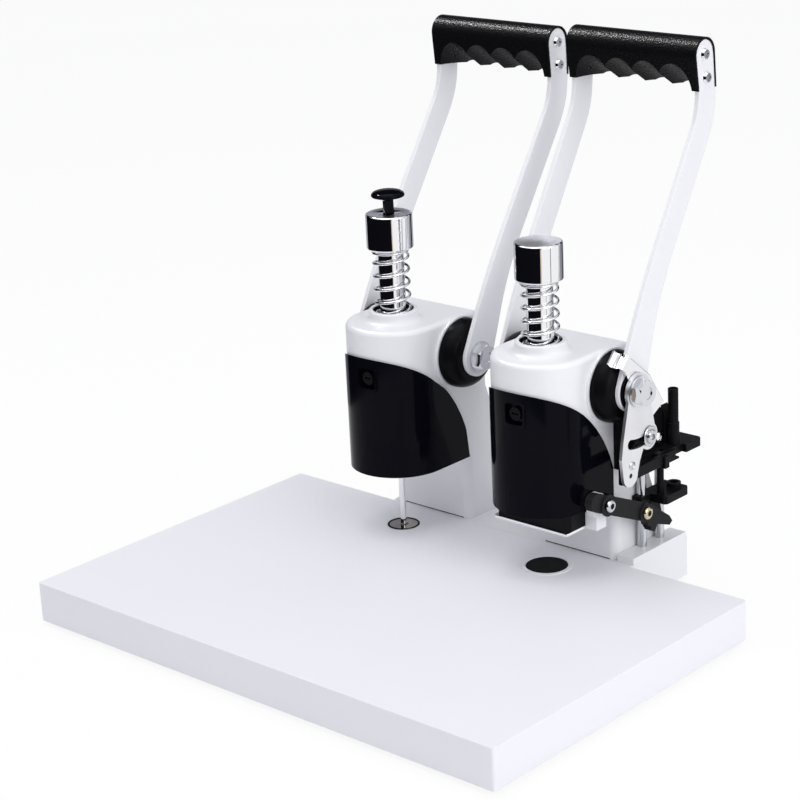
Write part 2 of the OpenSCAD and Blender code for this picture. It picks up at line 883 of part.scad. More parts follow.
module grip_section() {
  translate([grip_y, arm_top_z]) circle(d = grip_d);
  polygon([[grip_y, arm_top_z] + grip_d / 2 * [cos(188), sin(188)], [tail_front, tail_z], [tail_back, tail_z],
    [grip_y, arm_top_z] + grip_d / 2 * [cos(4), sin(4)]]);
}

// Finger hollows run down from the front face to the back of the underside
module grip() {
  hollow = finger_mouth - finger_r * [sin(finger_slope), cos(finger_slope)];
  difference() {
    along_x(-grip_half, grip_half) grip_section();
    for (i = [-1.5:1.5]) {
      translate([i * finger_pitch, hollow[0], hollow[1]]) rotate([90 - finger_slope, 0, 0])
        cylinder(h = 120, r = finger_r, center = true);
    }
    for (s = sides) {
      x0 = s > 0 ? arm_in - seat_gap : -grip_half - 1;
      translate([0, pivot_y, pivot_h]) along_x(x0, x0 + arm_t + 1 + seat_gap + 0.6) arm_shape(seat_gap);
      for (i = [0, 1]) {
        x_rod(s * arm_in - grip_screw_depth[i] - 1, s * arm_in + grip_screw_depth[i] + 1,
          [pivot_y, pivot_h] + grip_screw_places()[i], grip_screw_d + 2 * seat_gap);
      }
    }
  }
}

module left_grip() {
  color("black") bench() left_lean() grip();
}

module right_grip() {
  color("black") at_head(right_x) grip();
}

module grip_screws() {
  for (s = sides, i = [0, 1]) {
    place = [pivot_y, pivot_h] + grip_screw_places()[i];
    tip = arm_in - grip_screw_depth[i];
    x_rod(s > 0 ? tip : -arm_out, s > 0 ? arm_out : -tip, place, grip_screw_d);
    translate([s * arm_out, place[0], place[1]]) rotate([0, s * 90, 0]) difference() {
      cylinder(h = 2, d1 = 8.5, d2 = 6.5);
      translate([-2.5, -0.5, 1]) cube([5, 1, 2]);
      translate([-0.5, -2.5, 1]) cube([1, 5, 2]);
    }
  }
}

module left_grip_screws() {
  color("silver") bench() left_lean() grip_screws();
}

module right_grip_screws() {
  color("silver") at_head(right_x) grip_screws();
}

module hex_bolt(side, head_x) {
  translate([side * head_x, pivot_y, pivot_h]) rotate([0, side * 90, 0]) {
    difference() {
      intersection() {
        cylinder(h = hex_h, d = hex_w / cos(30), $fn = 6);
        cylinder(h = hex_h, d1 = hex_w + 8, d2 = hex_w + 0.5);
      }
      translate([0, 0, hex_h - 0.8]) cylinder(h = 1, d = 9);
    }
    length = head_x - arm_in + hub_bolt_depth;
    translate([0, 0, -length]) cylinder(h = length + eps, d = hub_bolt_d);
  }
}

module hub_washer(side, x) {
  translate([side * x, pivot_y, pivot_h]) rotate([0, side * 90, 0]) difference() {
    cylinder(h = washer_t, d = 22);
    translate([0, 0, -1]) cylinder(h = washer_t + 2, d = hub_bolt_d + 2 * seat_gap);
  }
}

module left_hub_bolts() {
  color("silver") at_head(left_x) for (s = sides) {
    hub_washer(s, arm_out);
    hex_bolt(s, arm_out + washer_t);
  }
}

// The right lever's outer bolt also holds the sleeve on which the cutter link turns
module right_hub_bolts() {
  color("silver") at_head(right_x) {
    hub_washer(left, arm_out);
    hex_bolt(left, arm_out + washer_t);
    hub_washer(right, sleeve_end);
    hex_bolt(right, sleeve_end + washer_t);
  }
}

module link_sleeve() {
  color("black") at_head(right_x) difference() {
    union() {
      x_rod(arm_out, arm_out + sleeve_flange, [pivot_y, pivot_h], sleeve_flange_d);
      x_rod(arm_out, sleeve_end, [pivot_y, pivot_h], sleeve_d);
    }
    x_rod(arm_out - 1, sleeve_end + 1, [pivot_y, pivot_h], hub_bolt_d + 2 * seat_gap);
  }
}

// Hollow punch and its ejector
module punch_chuck() {
  color("dimgray") at_head(left_x) difference() {
    z_rod(0, axis_y, chuck_z, chuck_top, chuck_d);
    z_rod(0, axis_y, chuck_z - 1, punch_top, punch_d);
    z_rod(0, axis_y, punch_top - eps, chuck_top + 1, eject_rod_d + 1);
  }
}

module hollow_punch() {
  color("silver") at_head(left_x) difference() {
    z_rod(0, axis_y, 0.2, punch_top, punch_d);
    z_rod(0, axis_y, -1, punch_top + 1, punch_d - 1.4);
    translate([0, axis_y, 0]) cylinder(h = 0.8, d1 = punch_d - 0.2, d2 = punch_d - 1.4);
  }
}

module eject_button() {
  flange_top = left_cap_top - cap_roof - free_gap;
  color("black") at_head(left_x) difference() {
    union() {
      z_rod(0, axis_y, flange_top - eject_flange_h, flange_top, eject_chamber_d - 1);
      z_rod(0, axis_y, flange_top - eps, button_z + 1, eject_stem_d);
      translate([0, axis_y, button_z]) rotate_extrude() polygon(concat(
        [[0, 0], [eject_stem_d / 2, 0], [button_d / 2 - 1.5, 1.6]],
        arc([button_d / 2 - 1, 2.6], 1, -60, 60, 4),
        [for (i = [1:6]) [(button_d / 2 - 0.6) * cos(15 * i), 3.4 + 3 * sin(15 * i)]]));
    }
    z_rod(0, axis_y, flange_top - eject_flange_h - 1, button_z - 4, eject_rod_d);
  }
}

module eject_rod() {
  color("silver") at_head(left_x) {
    z_rod(0, axis_y, eject_step_z, button_z - 4, eject_rod_d);
    z_rod(0, axis_y, eject_stroke + 2, eject_step_z + eps, punch_d - 2.2);
  }
}

module eject_spring() {
  z0 = left_cap_z + cap_socket + seat_gap;
  z1 = left_cap_top - cap_roof - free_gap - eject_flange_h - seat_gap;
  color("silver") at_head(left_x) translate([0, axis_y, 0]) coil(4.6, 0.8, z0, z1, 2.2);
}

// Press foot
module press_block() {
  color("black") at_head(right_x) difference() {
    translate([0, 0, plate_z + plate_t]) linear_extrude(foot_top - plate_z - plate_t) polygon([
      [-foot_left, foot_front + 4], [-foot_left + 4, foot_front], [foot_half - 4, foot_front],
      [foot_half, foot_front + 4], [foot_half, foot_back], [-foot_left, foot_back]]);
    z_rod(0, axis_y, right_rod_z, foot_top + 1, rod_d);
    z_rod(0, axis_y, plate_z, foot_top + 1, rivet_d);
  }
}

module press_plate() {
  color("silver") at_head(right_x) difference() {
    translate([0, 0, plate_z]) linear_extrude(plate_t)
      round_rect([-foot_left, foot_half], [foot_front - 1.5, foot_back], 1.5);
    z_rod(0, axis_y, plate_z - 1, plate_z + plate_t + 1, rivet_d);
  }
}

module rivet_punch() {
  color("silver") at_head(right_x) {
    z_rod(0, axis_y, plate_z - 0.5, right_rod_z, rivet_d);
    translate([0, axis_y, plate_z - 2]) cylinder(h = 1.5 + eps, d1 = 4, d2 = 5.5);
  }
}

module foot_bracket() {
  color("white") at_head(right_x) difference() {
    union() {
      block([foot_half, gauge_in - 0.6], [gauge_pin[0] - 4, gauge_pin[0] + 7], [plate_z, throat_h - 2]);
      along_x(cover_r + 1, gauge_in - 0.6) {
        translate([gauge_pin[0] - 7, throat_h - 3]) square([14, gauge_pin[1] - throat_h + 3]);
        translate(gauge_pin) circle(7);
      }
    }
    x_rod(cover_r, gauge_in, gauge_pin, 5);
  }
}

module gauge_pin_screw() {
  color("silver") at_head(right_x) {
    x_rod(cover_r + 1, gauge_face + free_gap, gauge_pin, 5);
    x_rod(gauge_face + free_gap - eps, gauge_face + free_gap + 2.4, gauge_pin, 9);
  }
}

// Tube cutter
module body_side() {
  r = boss_r + 1;
  polygon(concat(
    [[1.5, platform_z], [1.5, pivot_h - sqrt(r * r - pow(1.5 - pivot_y, 2))]],
    arc([pivot_y, pivot_h], r, -80, -44, 6),
    [[46, 106], [58, post_step_z], [58, platform_z]]));
}

module cutter_body() {
  color("black") at_head(right_x) difference() {
    union() {
      along_x(head_r, body_out) body_side();
      translate([0, 0, platform_z]) linear_extrude(platform_t) {
        polygon([[head_r, 20], [guide_x + 5, 20], [guide_x + 8, platform_front],
          [slide_room_x, platform_front], [slide_room_x, slide_room_back], [platform_out, slide_room_back],
          [platform_out, platform_back - 2], [platform_out - 2, platform_back],
          [head_r, platform_back]]);
      }
      along_y(post_y - 4, post_y + 4)
        polygon([[body_out - 1, platform_z], [post_web_x, platform_z], [post_web_x, post_step_z + 6],
          [body_out - 1, post_step_z + 12]]);
      x_rod(body_out - 1, link_in - free_gap, [pivot_y, pivot_h] + guide_bolt, 10);
    }
    z_rod(post_x, post_y, platform_z - 1, platform_z + 2, tube_d + 0.4);
    z_rod(post_x, post_y, platform_z + 2 - eps, platform_z + platform_t + 1, post_low_d);
    z_rod(post_x, stem_y, platform_z - 1, platform_z + platform_t + 1, stem_d + 2 * run_gap);
    for (y = guide_ys) {
      z_rod(guide_x, y, platform_z - 1, platform_z + 4, guide_d);
    }
    for (p = body_screws()) {
      x_rod(head_r - 1, body_out + 1, p, 5 + 2 * seat_gap);
    }
  }
}

function body_screws() = [[16, 84], [44, 82]];

module tube_post() {
  color("black") at_head(right_x) difference() {
    union() {
      z_rod(post_x, post_y, platform_z + 2, post_step_z, post_low_d);
      z_rod(post_x, post_y, post_step_z - eps, post_top_z, post_top_d);
    }
    z_rod(post_x, post_y, platform_z, post_top_z + 1, tube_d);
  }
}

module guide_rods() {
  color("silver") at_head(right_x) for (y = guide_ys) {
    z_rod(guide_x, y, 0, platform_z + 4, guide_d);
  }
}

module cutter_screws() {
  color("silver") at_head(right_x) {
    for (p = body_screws()) {
      x_rod(head_r, body_out + eps, p, 5);
      x_rod(body_out, body_out + 3, p, 9);
    }
    x_rod(link_in - free_gap, link_out + free_gap, [pivot_y, pivot_h] + guide_bolt, 6);
    x_rod(link_out + free_gap - eps, link_out + free_gap + 3, [pivot_y, pivot_h] + guide_bolt, 13);
    x_rod(head_r - 7, gauge_face + free_gap, gauge_pivot, gauge_screw_d);
    x_rod(gauge_face + free_gap - eps, gauge_face + free_gap + 2.4, gauge_pivot, 9);
  }
}

module slide_lug() {
  y = pivot_y + drive_pin[0];
  z = pivot_h + drive_pin[1];
  difference() {
    union() {
      translate([y - 7, slide_z]) square([14, z - slide_z]);
      translate([y, z]) circle(7);
      translate([y - 7, slide_z]) square([blade_edge - 4 - y + 7, slide_h]);
    }
    translate([y - drive_pin_d / 2 - 0.3, z - 4]) square([drive_pin_d + 0.6, 7]);
  }
}

module blade_slide() {
  color("black") at_head(right_x) {
    along_x(slide_in, slide_out) slide_lug();
    block([post_x - 4, slide_out], [blade_edge - blade_w, blade_edge], [slide_z, slide_z + blade_t]);
  }
}

module blade_keeper() {
  floor_z = slide_z - free_gap - keeper_t;
  color("black") at_head(right_x) {
    block([slide_room_x - 4, slide_room_x], keeper_y, [floor_z, platform_z]);
    block([slide_room_x - eps, platform_out + keeper_t], keeper_y, [floor_z, floor_z + keeper_t]);
    block([platform_out, platform_out + keeper_t], keeper_y,
      [floor_z + keeper_t - eps, slide_z + slide_h - 1]);
  }
}

// Link plate with its ring on the sleeve, curved guide slot, drive pin and spring hole
module link_outline() {
  difference() {
    union() {
      circle(13);
      translate(guide_bolt) circle(9.5);
      translate(link_foot) circle(8);
      polygon([[-12, -5], [-18.5, -32], [-20.5, -44], link_foot + [-8, -1], link_foot + [8, 0], [0, -50],
        [4.5, -41.5], guide_bolt + [-1, -9.4], guide_bolt + [9, -3], [12, -6]]);
    }
    circle(d = sleeve_d + 2 * run_gap);
    polygon(concat(
      arc([0, 0], guide_bolt_r + 3.5, guide_bolt_a, guide_bolt_a - guide_sweep),
      arc([0, 0], guide_bolt_r - 3.5, guide_bolt_a - guide_sweep, guide_bolt_a)));
    for (a = [guide_bolt_a, guide_bolt_a - guide_sweep]) {
      translate(guide_bolt_r * [cos(a), sin(a)]) circle(3.5);
    }
    translate(link_foot) circle(d = 3.4);
  }
}

module link_plate() {
  color("silver") at_head(right_x) translate([0, pivot_y, pivot_h]) {
    along_x(link_in, link_out) link_outline();
    x_rod(slide_in + 0.5, link_in + eps, drive_pin, drive_pin_d);
  }
}

// Bright plate on the right lever's outer arm, hooked round the arm's front edge
module clip_plate() {
  color("silver") at_head(right_x) translate([0, pivot_y, pivot_h]) {
    along_x(arm_out, arm_out + clip_t) difference() {
      polygon([clip_front[3], [-2, 22.5], [18, 6], [33, -18], [23, -25], [8, -12], clip_front[2]]);
      circle(d = sleeve_flange_d + 2 * seat_gap);
    }
    along_x(arm_in, arm_out + clip_t) polygon(clip_front);
    along_x(clip_hook_in, arm_in + eps) polygon(clip_hook);
  }
}

// Thickness gauge: lever on the head's side, tray on the guide rods
module gauge_lever() {
  reach = norm(gauge_pin - gauge_pivot);
  color("black") at_head(right_x) {
    along_x(gauge_in, gauge_out) translate(gauge_pivot) rotate(-gauge_tilt) difference() {
      gauge_outline();
      circle(d = gauge_screw_d + 2 * run_gap);
      gauge_slot();
    }
    along_x(gauge_out - eps, gauge_face) translate(gauge_pivot) rotate(-gauge_tilt) difference() {
      union() {
        circle(d = gauge_w + 1);
        translate([-reach, 0]) circle(d = gauge_w + 2.5);
      }
      circle(d = gauge_screw_d + 2 * run_gap);
      gauge_slot();
    }
    x_rod(guide_x - 1.5, gauge_in + eps, lift_pin, lift_pin_d);
  }
}

// Lever seen from its side, with a hooked, tapered end
module gauge_outline() {
  half = gauge_w / 2;
  end = gauge_back_reach + half;
  translate([-gauge_front_reach, 0]) circle(half);
  polygon([[-gauge_front_reach, -half], [6, -half], [8, -half - 2.5], [12, -half - 2.5], [13, -half - 5.5],
    [18, -half - 5.5], [19, -half], [end - 2, -half + 1], [end, -half + 4.5], [end - 5, 1], [14, 4.5],
    [7, half], [-gauge_front_reach, half]]);
}

module gauge_tray() {
  lug_z = [lift_pin[1] - 6, tray_z + 1];
  lug_y = [guide_ys[0] + guide_d / 2 + 1.5, guide_ys[1] - guide_d / 2 - 1.5];
  color("black") at_head(right_x) difference() {
    union() {
      translate([0, 0, tray_z]) linear_extrude(tray_t) polygon([
        [head_r + 0.6, tray_front], [gauge_in - 1, tray_front], [gauge_in - 1, tray_step],
        [platform_out - 2, tray_step], [platform_out, tray_step + 2], [platform_out, tray_back - 2],
        [platform_out - 2, tray_back], [head_r + 0.6, tray_back]]);
      block([head_r + 2.5, gauge_in - 0.6], lug_y, lug_z);
      z_rod(post_x, stem_y, tray_z, platform_z + 4, stem_d);
      z_rod(post_x, post_y, tray_z, tray_z + tray_t + 3, tube_d + 5);
    }
    z_rod(post_x, post_y, tray_z + tray_t, tray_z + tray_t + 4, tube_d + 0.8);
    for (y = guide_ys) {
      z_rod(guide_x, y, tray_z - 1, tray_z + tray_t + 1, guide_d + 2 * run_gap);
    }
    block([head_r, gauge_in], [guide_ys[0], lift_pin[0] + lift_pin_d / 2 + 2.5],
      [lift_pin[1] - lift_pin_d / 2 - 0.4, lift_pin[1] + lift_pin_d / 2 + 0.4]);
  }
}

module gauge_slot() {
  reach = norm(gauge_pin - gauge_pivot);
  ends = [-reach - 2, -reach + 4.5];
  translate([ends[0], -gauge_slot_r]) square([ends[1] - ends[0], 2 * gauge_slot_r]);
  for (x = ends) {
    translate([x, 0]) circle(gauge_slot_r);
  }
}

table_shell();
bed();
feet();
table_screws();
bed_bolts();
die_plate();
press_pad();
pad_ring();
left_head();
right_head();
left_cover();
right_cover();
cover_screws();
left_back_plate();
right_back_plate();
back_plate_screws();
left_hub_covers();
right_hub_covers();
left_plunger();
right_plunger();
left_cap();
right_cap();
left_return_spring();
right_return_spring();
left_shaft();
right_shaft();
left_crank_finger();
right_crank_finger();
left_lever_left_arm();
left_lever_right_arm();
right_lever_left_arm();
right_lever_right_arm();
left_grip();
right_grip();
left_grip_screws();
right_grip_screws();
left_hub_bolts();
right_hub_bolts();
link_sleeve();
punch_chuck();
hollow_punch();
eject_button();
eject_rod();
eject_spring();
press_block();
press_plate();
rivet_punch();
foot_bracket();
gauge_pin_screw();
cutter_body();
tube_post();
guide_rods();
cutter_screws();
blade_slide();
blade_keeper();
link_plate();
clip_plate();
gauge_lever();
gauge_tray();
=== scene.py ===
"""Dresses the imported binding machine: finishes, turned and formed pieces, studio and camera."""

import logging
import math
from dataclasses import dataclass
from enum import Enum
from typing import Iterable, Sequence

import bmesh
import bpy
from mathutils import Matrix, Vector


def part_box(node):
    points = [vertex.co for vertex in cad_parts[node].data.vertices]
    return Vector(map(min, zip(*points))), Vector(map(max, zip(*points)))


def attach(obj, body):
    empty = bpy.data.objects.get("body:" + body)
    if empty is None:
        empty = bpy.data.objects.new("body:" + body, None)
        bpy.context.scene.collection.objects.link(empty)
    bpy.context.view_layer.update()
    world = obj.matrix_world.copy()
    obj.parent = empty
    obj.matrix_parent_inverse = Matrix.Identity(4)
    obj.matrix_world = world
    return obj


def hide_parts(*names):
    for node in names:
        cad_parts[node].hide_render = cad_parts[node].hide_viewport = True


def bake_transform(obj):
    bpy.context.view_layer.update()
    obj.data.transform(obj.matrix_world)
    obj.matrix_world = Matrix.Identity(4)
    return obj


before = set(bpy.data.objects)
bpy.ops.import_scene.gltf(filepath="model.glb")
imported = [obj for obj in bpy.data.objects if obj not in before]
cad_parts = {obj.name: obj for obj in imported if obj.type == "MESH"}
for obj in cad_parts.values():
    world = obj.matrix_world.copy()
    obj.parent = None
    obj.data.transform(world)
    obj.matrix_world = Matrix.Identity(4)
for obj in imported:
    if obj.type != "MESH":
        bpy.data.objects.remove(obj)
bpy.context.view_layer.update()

Point = tuple[float, float]
Rgb = tuple[float, float, float]
Place = tuple[float, float, float]
Socket = bpy.types.NodeSocket
Feed = Socket | float | Sequence[float]

LOG = logging.getLogger("binding_machine")
MM = 0.001
WELD_GAP = 2e-6
RING_GAP = 1e-7
ON_AXIS = 1e-6
FLAT_ANGLE = 0.4
UPRIGHT = Matrix.Identity(3)

# Lever axis: millimetres behind the table's back edge and above its top
PIVOT: Point = (-2.0, 132.5)


class Body(Enum):
    """The bodies that new pieces ride on."""

    BASE = "base"
    LEFT_LEVER = "left_lever"
    LEFT_PUNCH = "left_punch"
    EJECTOR = "ejector"
    RIGHT_LEVER = "right_lever"
    RIGHT_PRESS = "right_press"
    LINK = "cutter_link"


class Side(Enum):
    """The two heads of the machine."""

    LEFT = "left"
    RIGHT = "right"


@dataclass(frozen=True)
class Grain:
    """A noise: its features per metre, octaves and stretch along each axis."""

    scale: float
    detail: float = 2.0
    stretch: Place = (1.0, 1.0, 1.0)


class Graph:
    """Writes the node tree of one material."""

    def __init__(self, name: str, **inputs: Feed) -> None:
        """Starts a principled material.

        Args:
            name: Name of the material.
            **inputs: Inputs of its shader.
        """
        self.material = bpy.data.materials.new(name)
        self.material.use_nodes = True
        self.tree = self.material.node_tree
        self.shader = self.tree.nodes["Principled BSDF"]
        self.set(**inputs)

    def feed(self, node: bpy.types.Node, **inputs: Feed) -> bpy.types.Node:
        """Links or sets a node's inputs.

        Args:
            node: The node.
            **inputs: Names of inputs, with underscores for spaces, and their sockets or values.

        Returns:
            The node.
        """
        for key, value in inputs.items():
            target = node.inputs[key.replace("_", " ")]
            if isinstance(value, Socket):
                self.tree.links.new(value, target)
            else:
                target.default_value = (*value, 1.0) if target.type == "RGBA" else value
        return node

    def node(self, kind: str, **inputs: Feed) -> bpy.types.Node:
        """Adds a node and feeds its inputs."""
        return self.feed(self.tree.nodes.new(f"ShaderNode{kind}"), **inputs)

    def set(self, **inputs: Feed) -> None:
        """Feeds the shader's inputs."""
        self.feed(self.shader, **inputs)

    def where(self, kind: str) -> Socket:
        """Gives the coordinates of a kind."""
        return self.node("TexCoord").outputs[kind]

    def noise(self, grain: Grain) -> Socket:
        """Adds a noise with values of about 0 to 1."""
        spread = self.node("Mapping", Vector=self.where("Object"), Scale=grain.stretch).outputs["Vector"]
        return self.node("TexNoise", Vector=spread, Scale=grain.scale, Detail=grain.detail).outputs["Fac"]

    def cells(self, scale: float) -> Socket:
        """Adds soft cells, as in a grained skin.

        Args:
            scale: Cells per metre.

        Returns:
            The distance to the nearest cell's middle.
        """
        node = self.node("TexVoronoi", Vector=self.where("Object"), Scale=scale)
        node.feature = "SMOOTH_F1"
        return node.outputs["Distance"]

    def remap(self, value: Socket, low: float, high: float, start: float = 0.0, end: float = 1.0) -> Socket:
        """Maps a value between start and end to a value between low and high."""
        node = self.node("MapRange", Value=value, From_Min=start, From_Max=end, To_Min=low, To_Max=high)
        return node.outputs["Result"]

    def blend(self, factor: Socket, first: Rgb, second: Rgb) -> Socket:
        """Mixes two colours.

        Args:
            factor: Share of the second colour.
            first: Colour at 0.
            second: Colour at 1.

        Returns:
            The mixed colour.
        """
        node = self.node("Mix")
        node.data_type = "RGBA"
        return self.feed(node, Factor=factor, A=first, B=second).outputs["Result"]

    def edges(self, radius: float, sharp: float = 0.75, flat: float = 0.995, samples: int = 4) -> Socket:
        """Finds edges by rounding the normal.

        Args:
            radius: Width of the edge zone in metres.
            sharp: Agreement of the two normals that counts as an edge.
            flat: Agreement of the two normals that counts as flat.
            samples: Rays for each rounded normal.

        Returns:
            0 on flat faces, up to 1 at an edge.
        """
        bevel = self.node("Bevel", Radius=radius)
        bevel.samples = samples
        dot = self.node("VectorMath")
        dot.operation = "DOT_PRODUCT"
        for source, target in zip((bevel, self.node("NewGeometry")), dot.inputs):
            self.tree.links.new(source.outputs["Normal"], target)
        return self.remap(dot.outputs["Value"], 1.0, 0.0, sharp, flat)

    def bump(self, height: Socket, strength: float, depth: float) -> None:
        """Adds a bump under any bump already there.

        Args:
            height: The height.
            strength: Share of the bump that shows.
            depth: Height of the bump in metres.
        """
        node = self.node("Bump", Height=height, Strength=strength, Distance=depth)
        target = self.shader.inputs["Normal"]
        if target.is_linked:
            self.feed(node, Normal=target.links[0].from_socket)
        self.set(Normal=node.outputs["Normal"])


@dataclass(frozen=True)
class Look:
    """What a finish adds to its plain tone and roughness.

    The relief shows by a share and has a depth in metres. The shades are factors of the tone at both ends of
    the tint. The gloss is added to the roughness at both ends of the sheen's span.
    """

    shader: dict[str, float]
    relief: Grain
    share: float
    depth: float
    tint: Grain | None = None
    shades: Point = (1.0, 1.0)
    sheen: Grain | None = None
    gloss: Point = (0.0, 0.0)
    span: Point = (0.0, 1.0)


@dataclass(frozen=True)
class Finish:
    """A surface finish: one material and the record's slot that it stands for."""

    name: str
    slot: str
    tone: Rgb
    roughness: float
    look: Look

    def tint(self, graph: Graph, factor: Socket) -> None:
        """Sets the colour from the look's first shade (0) to its second (1)."""
        first, second = (tuple(min(1.0, value * shade) for value in self.tone) for shade in self.look.shades)
        graph.set(Base_Color=graph.blend(factor, first, second))

    def sheen(self, graph: Graph, value: Socket) -> None:
        """Sets the roughness over the look's span of a value."""
        low, high = (self.roughness + step for step in self.look.gloss)
        graph.set(Roughness=graph.remap(value, low, high, *self.look.span))

    def paint(self, graph: Graph) -> None:
        """Writes the look into a material's nodes.

        Args:
            graph: Nodes of the material.
        """
        look = self.look
        if look.tint:
            self.tint(graph, graph.noise(look.tint))
        if look.sheen:
            self.sheen(graph, graph.noise(look.sheen))
        graph.bump(graph.noise(look.relief), look.share, look.depth)
        graph.set(**look.shader)

    def material(self) -> bpy.types.Material:
        """Gives the finish's material, made once.

        Returns:
            The material.
        """
        made = bpy.data.materials.get(self.name)
        if made is None:
            graph = Graph(self.name, Base_Color=self.tone, Roughness=self.roughness)
            self.paint(graph)
            made = graph.material
        return made


@dataclass(frozen=True)
class MouldedGrip(Finish):
    """A moulded grip with a leather-like grain over its look's fine pores."""

    grain: float = 800.0
    hills: Point = (0.1, 0.75)
    grain_share: float = 0.8
    grain_depth: float = 0.0002

    def paint(self, graph: Graph) -> None:
        """Adds the grain's cells and the polish of the high spots.

        Args:
            graph: Nodes of the material.
        """
        cells = graph.cells(self.grain)
        self.sheen(graph, cells)
        self.tint(graph, cells)
        graph.bump(graph.remap(cells, 1.0, 0.0, *self.hills), self.grain_share, self.grain_depth)
        super().paint(graph)


@dataclass(frozen=True)
class ThinPaintAndHighlight(Finish):
    """Paint that is lighter along the edges: partly thinner paint, partly a painted edge highlight."""

    # Tone, share and width of the lighter edges: thinner paint and a painted edge highlight.
    thin_and_highlight_tone: Rgb = (0.05, 0.05, 0.055)
    thin_and_highlight_share: float = 0.4
    thin_and_highlight_width: float = 0.0005

    def paint(self, graph: Graph) -> None:
        """Adds the lighter edges: thinner paint and a painted edge highlight.

        Args:
            graph: Nodes of the material.
        """
        super().paint(graph)
        # Lighter tone at the edges: thinner paint and a painted edge highlight.
        thin = graph.remap(graph.edges(self.thin_and_highlight_width), 0.0, self.thin_and_highlight_share)
        graph.set(Base_Color=graph.blend(thin, self.tone, self.thin_and_highlight_tone))


@dataclass(frozen=True)
class FacedPlate(Finish):
    """Plating on a turned cap, with a finely turned, rougher top whose greyer tone is a painted reflection.
    """

    # Greyer, lavender tone of the top: a painted reflection of the grey above the cap.
    painted_top_reflection: Rgb = (0.80, 0.80, 0.84)
    face_roughness: float = 0.3
    face_span: Point = (0.93, 0.985)

    def paint(self, graph: Graph) -> None:
        """Adds the turned top: rougher, and greyer as a painted reflection on faces that look up.

        Args:
            graph: Nodes of the material.
        """
        super().paint(graph)
        split = graph.node("SeparateXYZ", Vector=graph.where("Normal"))
        level = graph.remap(split.outputs["Z"], 0.0, 1.0, *self.face_span)
        # Faces that look up take the greyer tone, a painted reflection, and the turned top's roughness.
        graph.set(Base_Color=graph.blend(level, self.tone, self.painted_top_reflection),
                  Roughness=graph.remap(level, self.roughness, self.face_roughness))


def ground(*streak: float) -> Look:
    """Gives the look of steel with grinding marks that are stretched along an axis."""
    marks = Grain(240.0, 5.0, streak)
    return Look({"Metallic": 1.0}, marks, 0.06, 0.0001, Grain(70.0, 3.0), (0.9, 1.06), marks, (-0.09, 0.12))


HAZE = Grain(120.0, 4.0)
POWDER = Look({"IOR": 1.48, "Coat_Weight": 0.12, "Coat_Roughness": 0.15}, Grain(700.0, 1.0), 0.10, 0.0002,
              Grain(9.0, 3.0), (0.985, 1.01), Grain(160.0), (-0.05, 0.06))
MOULDED = Look({"IOR": 1.46}, Grain(1800.0), 0.08, 0.00015,
               Grain(5.0, 4.0, (1.0, 2.5, 1.0)), (0.985, 1.01), Grain(300.0), (-0.05, 0.05))
WIPED = Look({"IOR": 1.12, "Specular_IOR_Level": 0.6}, Grain(45.0, 1.0), 0.03, 0.0004,
             Grain(14.0), (1.0, 1.6), Grain(60.0, 4.0, (1.0, 1.0, 0.25)), (0.0, 0.07), (0.35, 0.75))
PORES = Look({"IOR": 1.12, "Specular_IOR_Level": 1.0}, Grain(2600.0), 0.12, 0.00008,
             shades=(1.5, 0.6), gloss=(-0.08, 0.2), span=(0.1, 0.7))
SPRAYED = Look({"IOR": 1.14, "Specular_IOR_Level": 0.6}, Grain(1300.0), 0.14, 0.0002,
               sheen=Grain(220.0), gloss=(-0.06, 0.1))
PLATED = Look({"Metallic": 1.0}, Grain(90.0, 1.0), 0.02, 0.0003,
              HAZE, (0.97, 1.02), HAZE, (0.0, 0.06), (0.4, 0.8))
BLOOMED = Look({"IOR": 1.2, "Specular_IOR_Level": 0.3}, Grain(1500.0, 3.0), 0.25, 0.0002,
               Grain(150.0, 4.0), (1.0, 1.8))

WHITE_COAT = Finish("white_powder_coat", "white_paint", (0.84, 0.84, 0.87), 0.34, POWDER)
WHITE_PLASTIC = Finish("white_moulded_plastic", "white_plastic", (0.84, 0.84, 0.88), 0.42, MOULDED)
POLISHED_BLACK = Finish("polished_black", "gloss_black", (0.002, 0.002, 0.004), 0.07, WIPED)
SATIN_BLACK = Finish("satin_black", "gloss_black", (0.003, 0.003, 0.004), 0.26, WIPED)
GRIP_BLACK = MouldedGrip("grained_black", "black_grain", (0.004, 0.004, 0.005), 0.22, PORES)
PAINT_BLACK = ThinPaintAndHighlight("semi_gloss_black", "black_paint", (0.006, 0.006, 0.007), 0.34, SPRAYED)
GAUGE_BLACK = ThinPaintAndHighlight("gauge_black", "black_paint", (0.016, 0.016, 0.018), 0.42, SPRAYED)
STEEL = Finish("ground_steel", "steel", (0.60, 0.60, 0.62), 0.26, ground(1.0, 1.0, 12.0))
ZINC = Finish("zinc_sheet", "steel", (0.82, 0.82, 0.85), 0.34, ground(9.0, 1.0, 1.0))
CLIP_ZINC = Finish("zinc_clip", "steel", (0.84, 0.84, 0.87), 0.04, PLATED)
BOLT_ZINC = Finish("zinc_bolt", "steel", (0.60, 0.61, 0.64), 0.12, ground(1.0, 1.0, 3.0))
BOLT_PLATE = Finish("bolt_plate", "steel", (0.68, 0.69, 0.72), 0.05, PLATED)
DIE_STEEL = Finish("die_steel", "steel", (0.38, 0.36, 0.34), 0.08, PLATED)
CHROME = Finish("bright_plate", "chrome", (0.86, 0.86, 0.88), 0.035, PLATED)
CAP_PLATE = FacedPlate("cap_plate", "chrome", (0.86, 0.86, 0.88), 0.03, PLATED)
YELLOW_ZINC = Finish("yellow_zinc", "chrome", (0.60, 0.53, 0.38), 0.18, PLATED)
RUBBER = Finish("black_rubber", "rubber", (0.005, 0.005, 0.006), 0.62, BLOOMED)


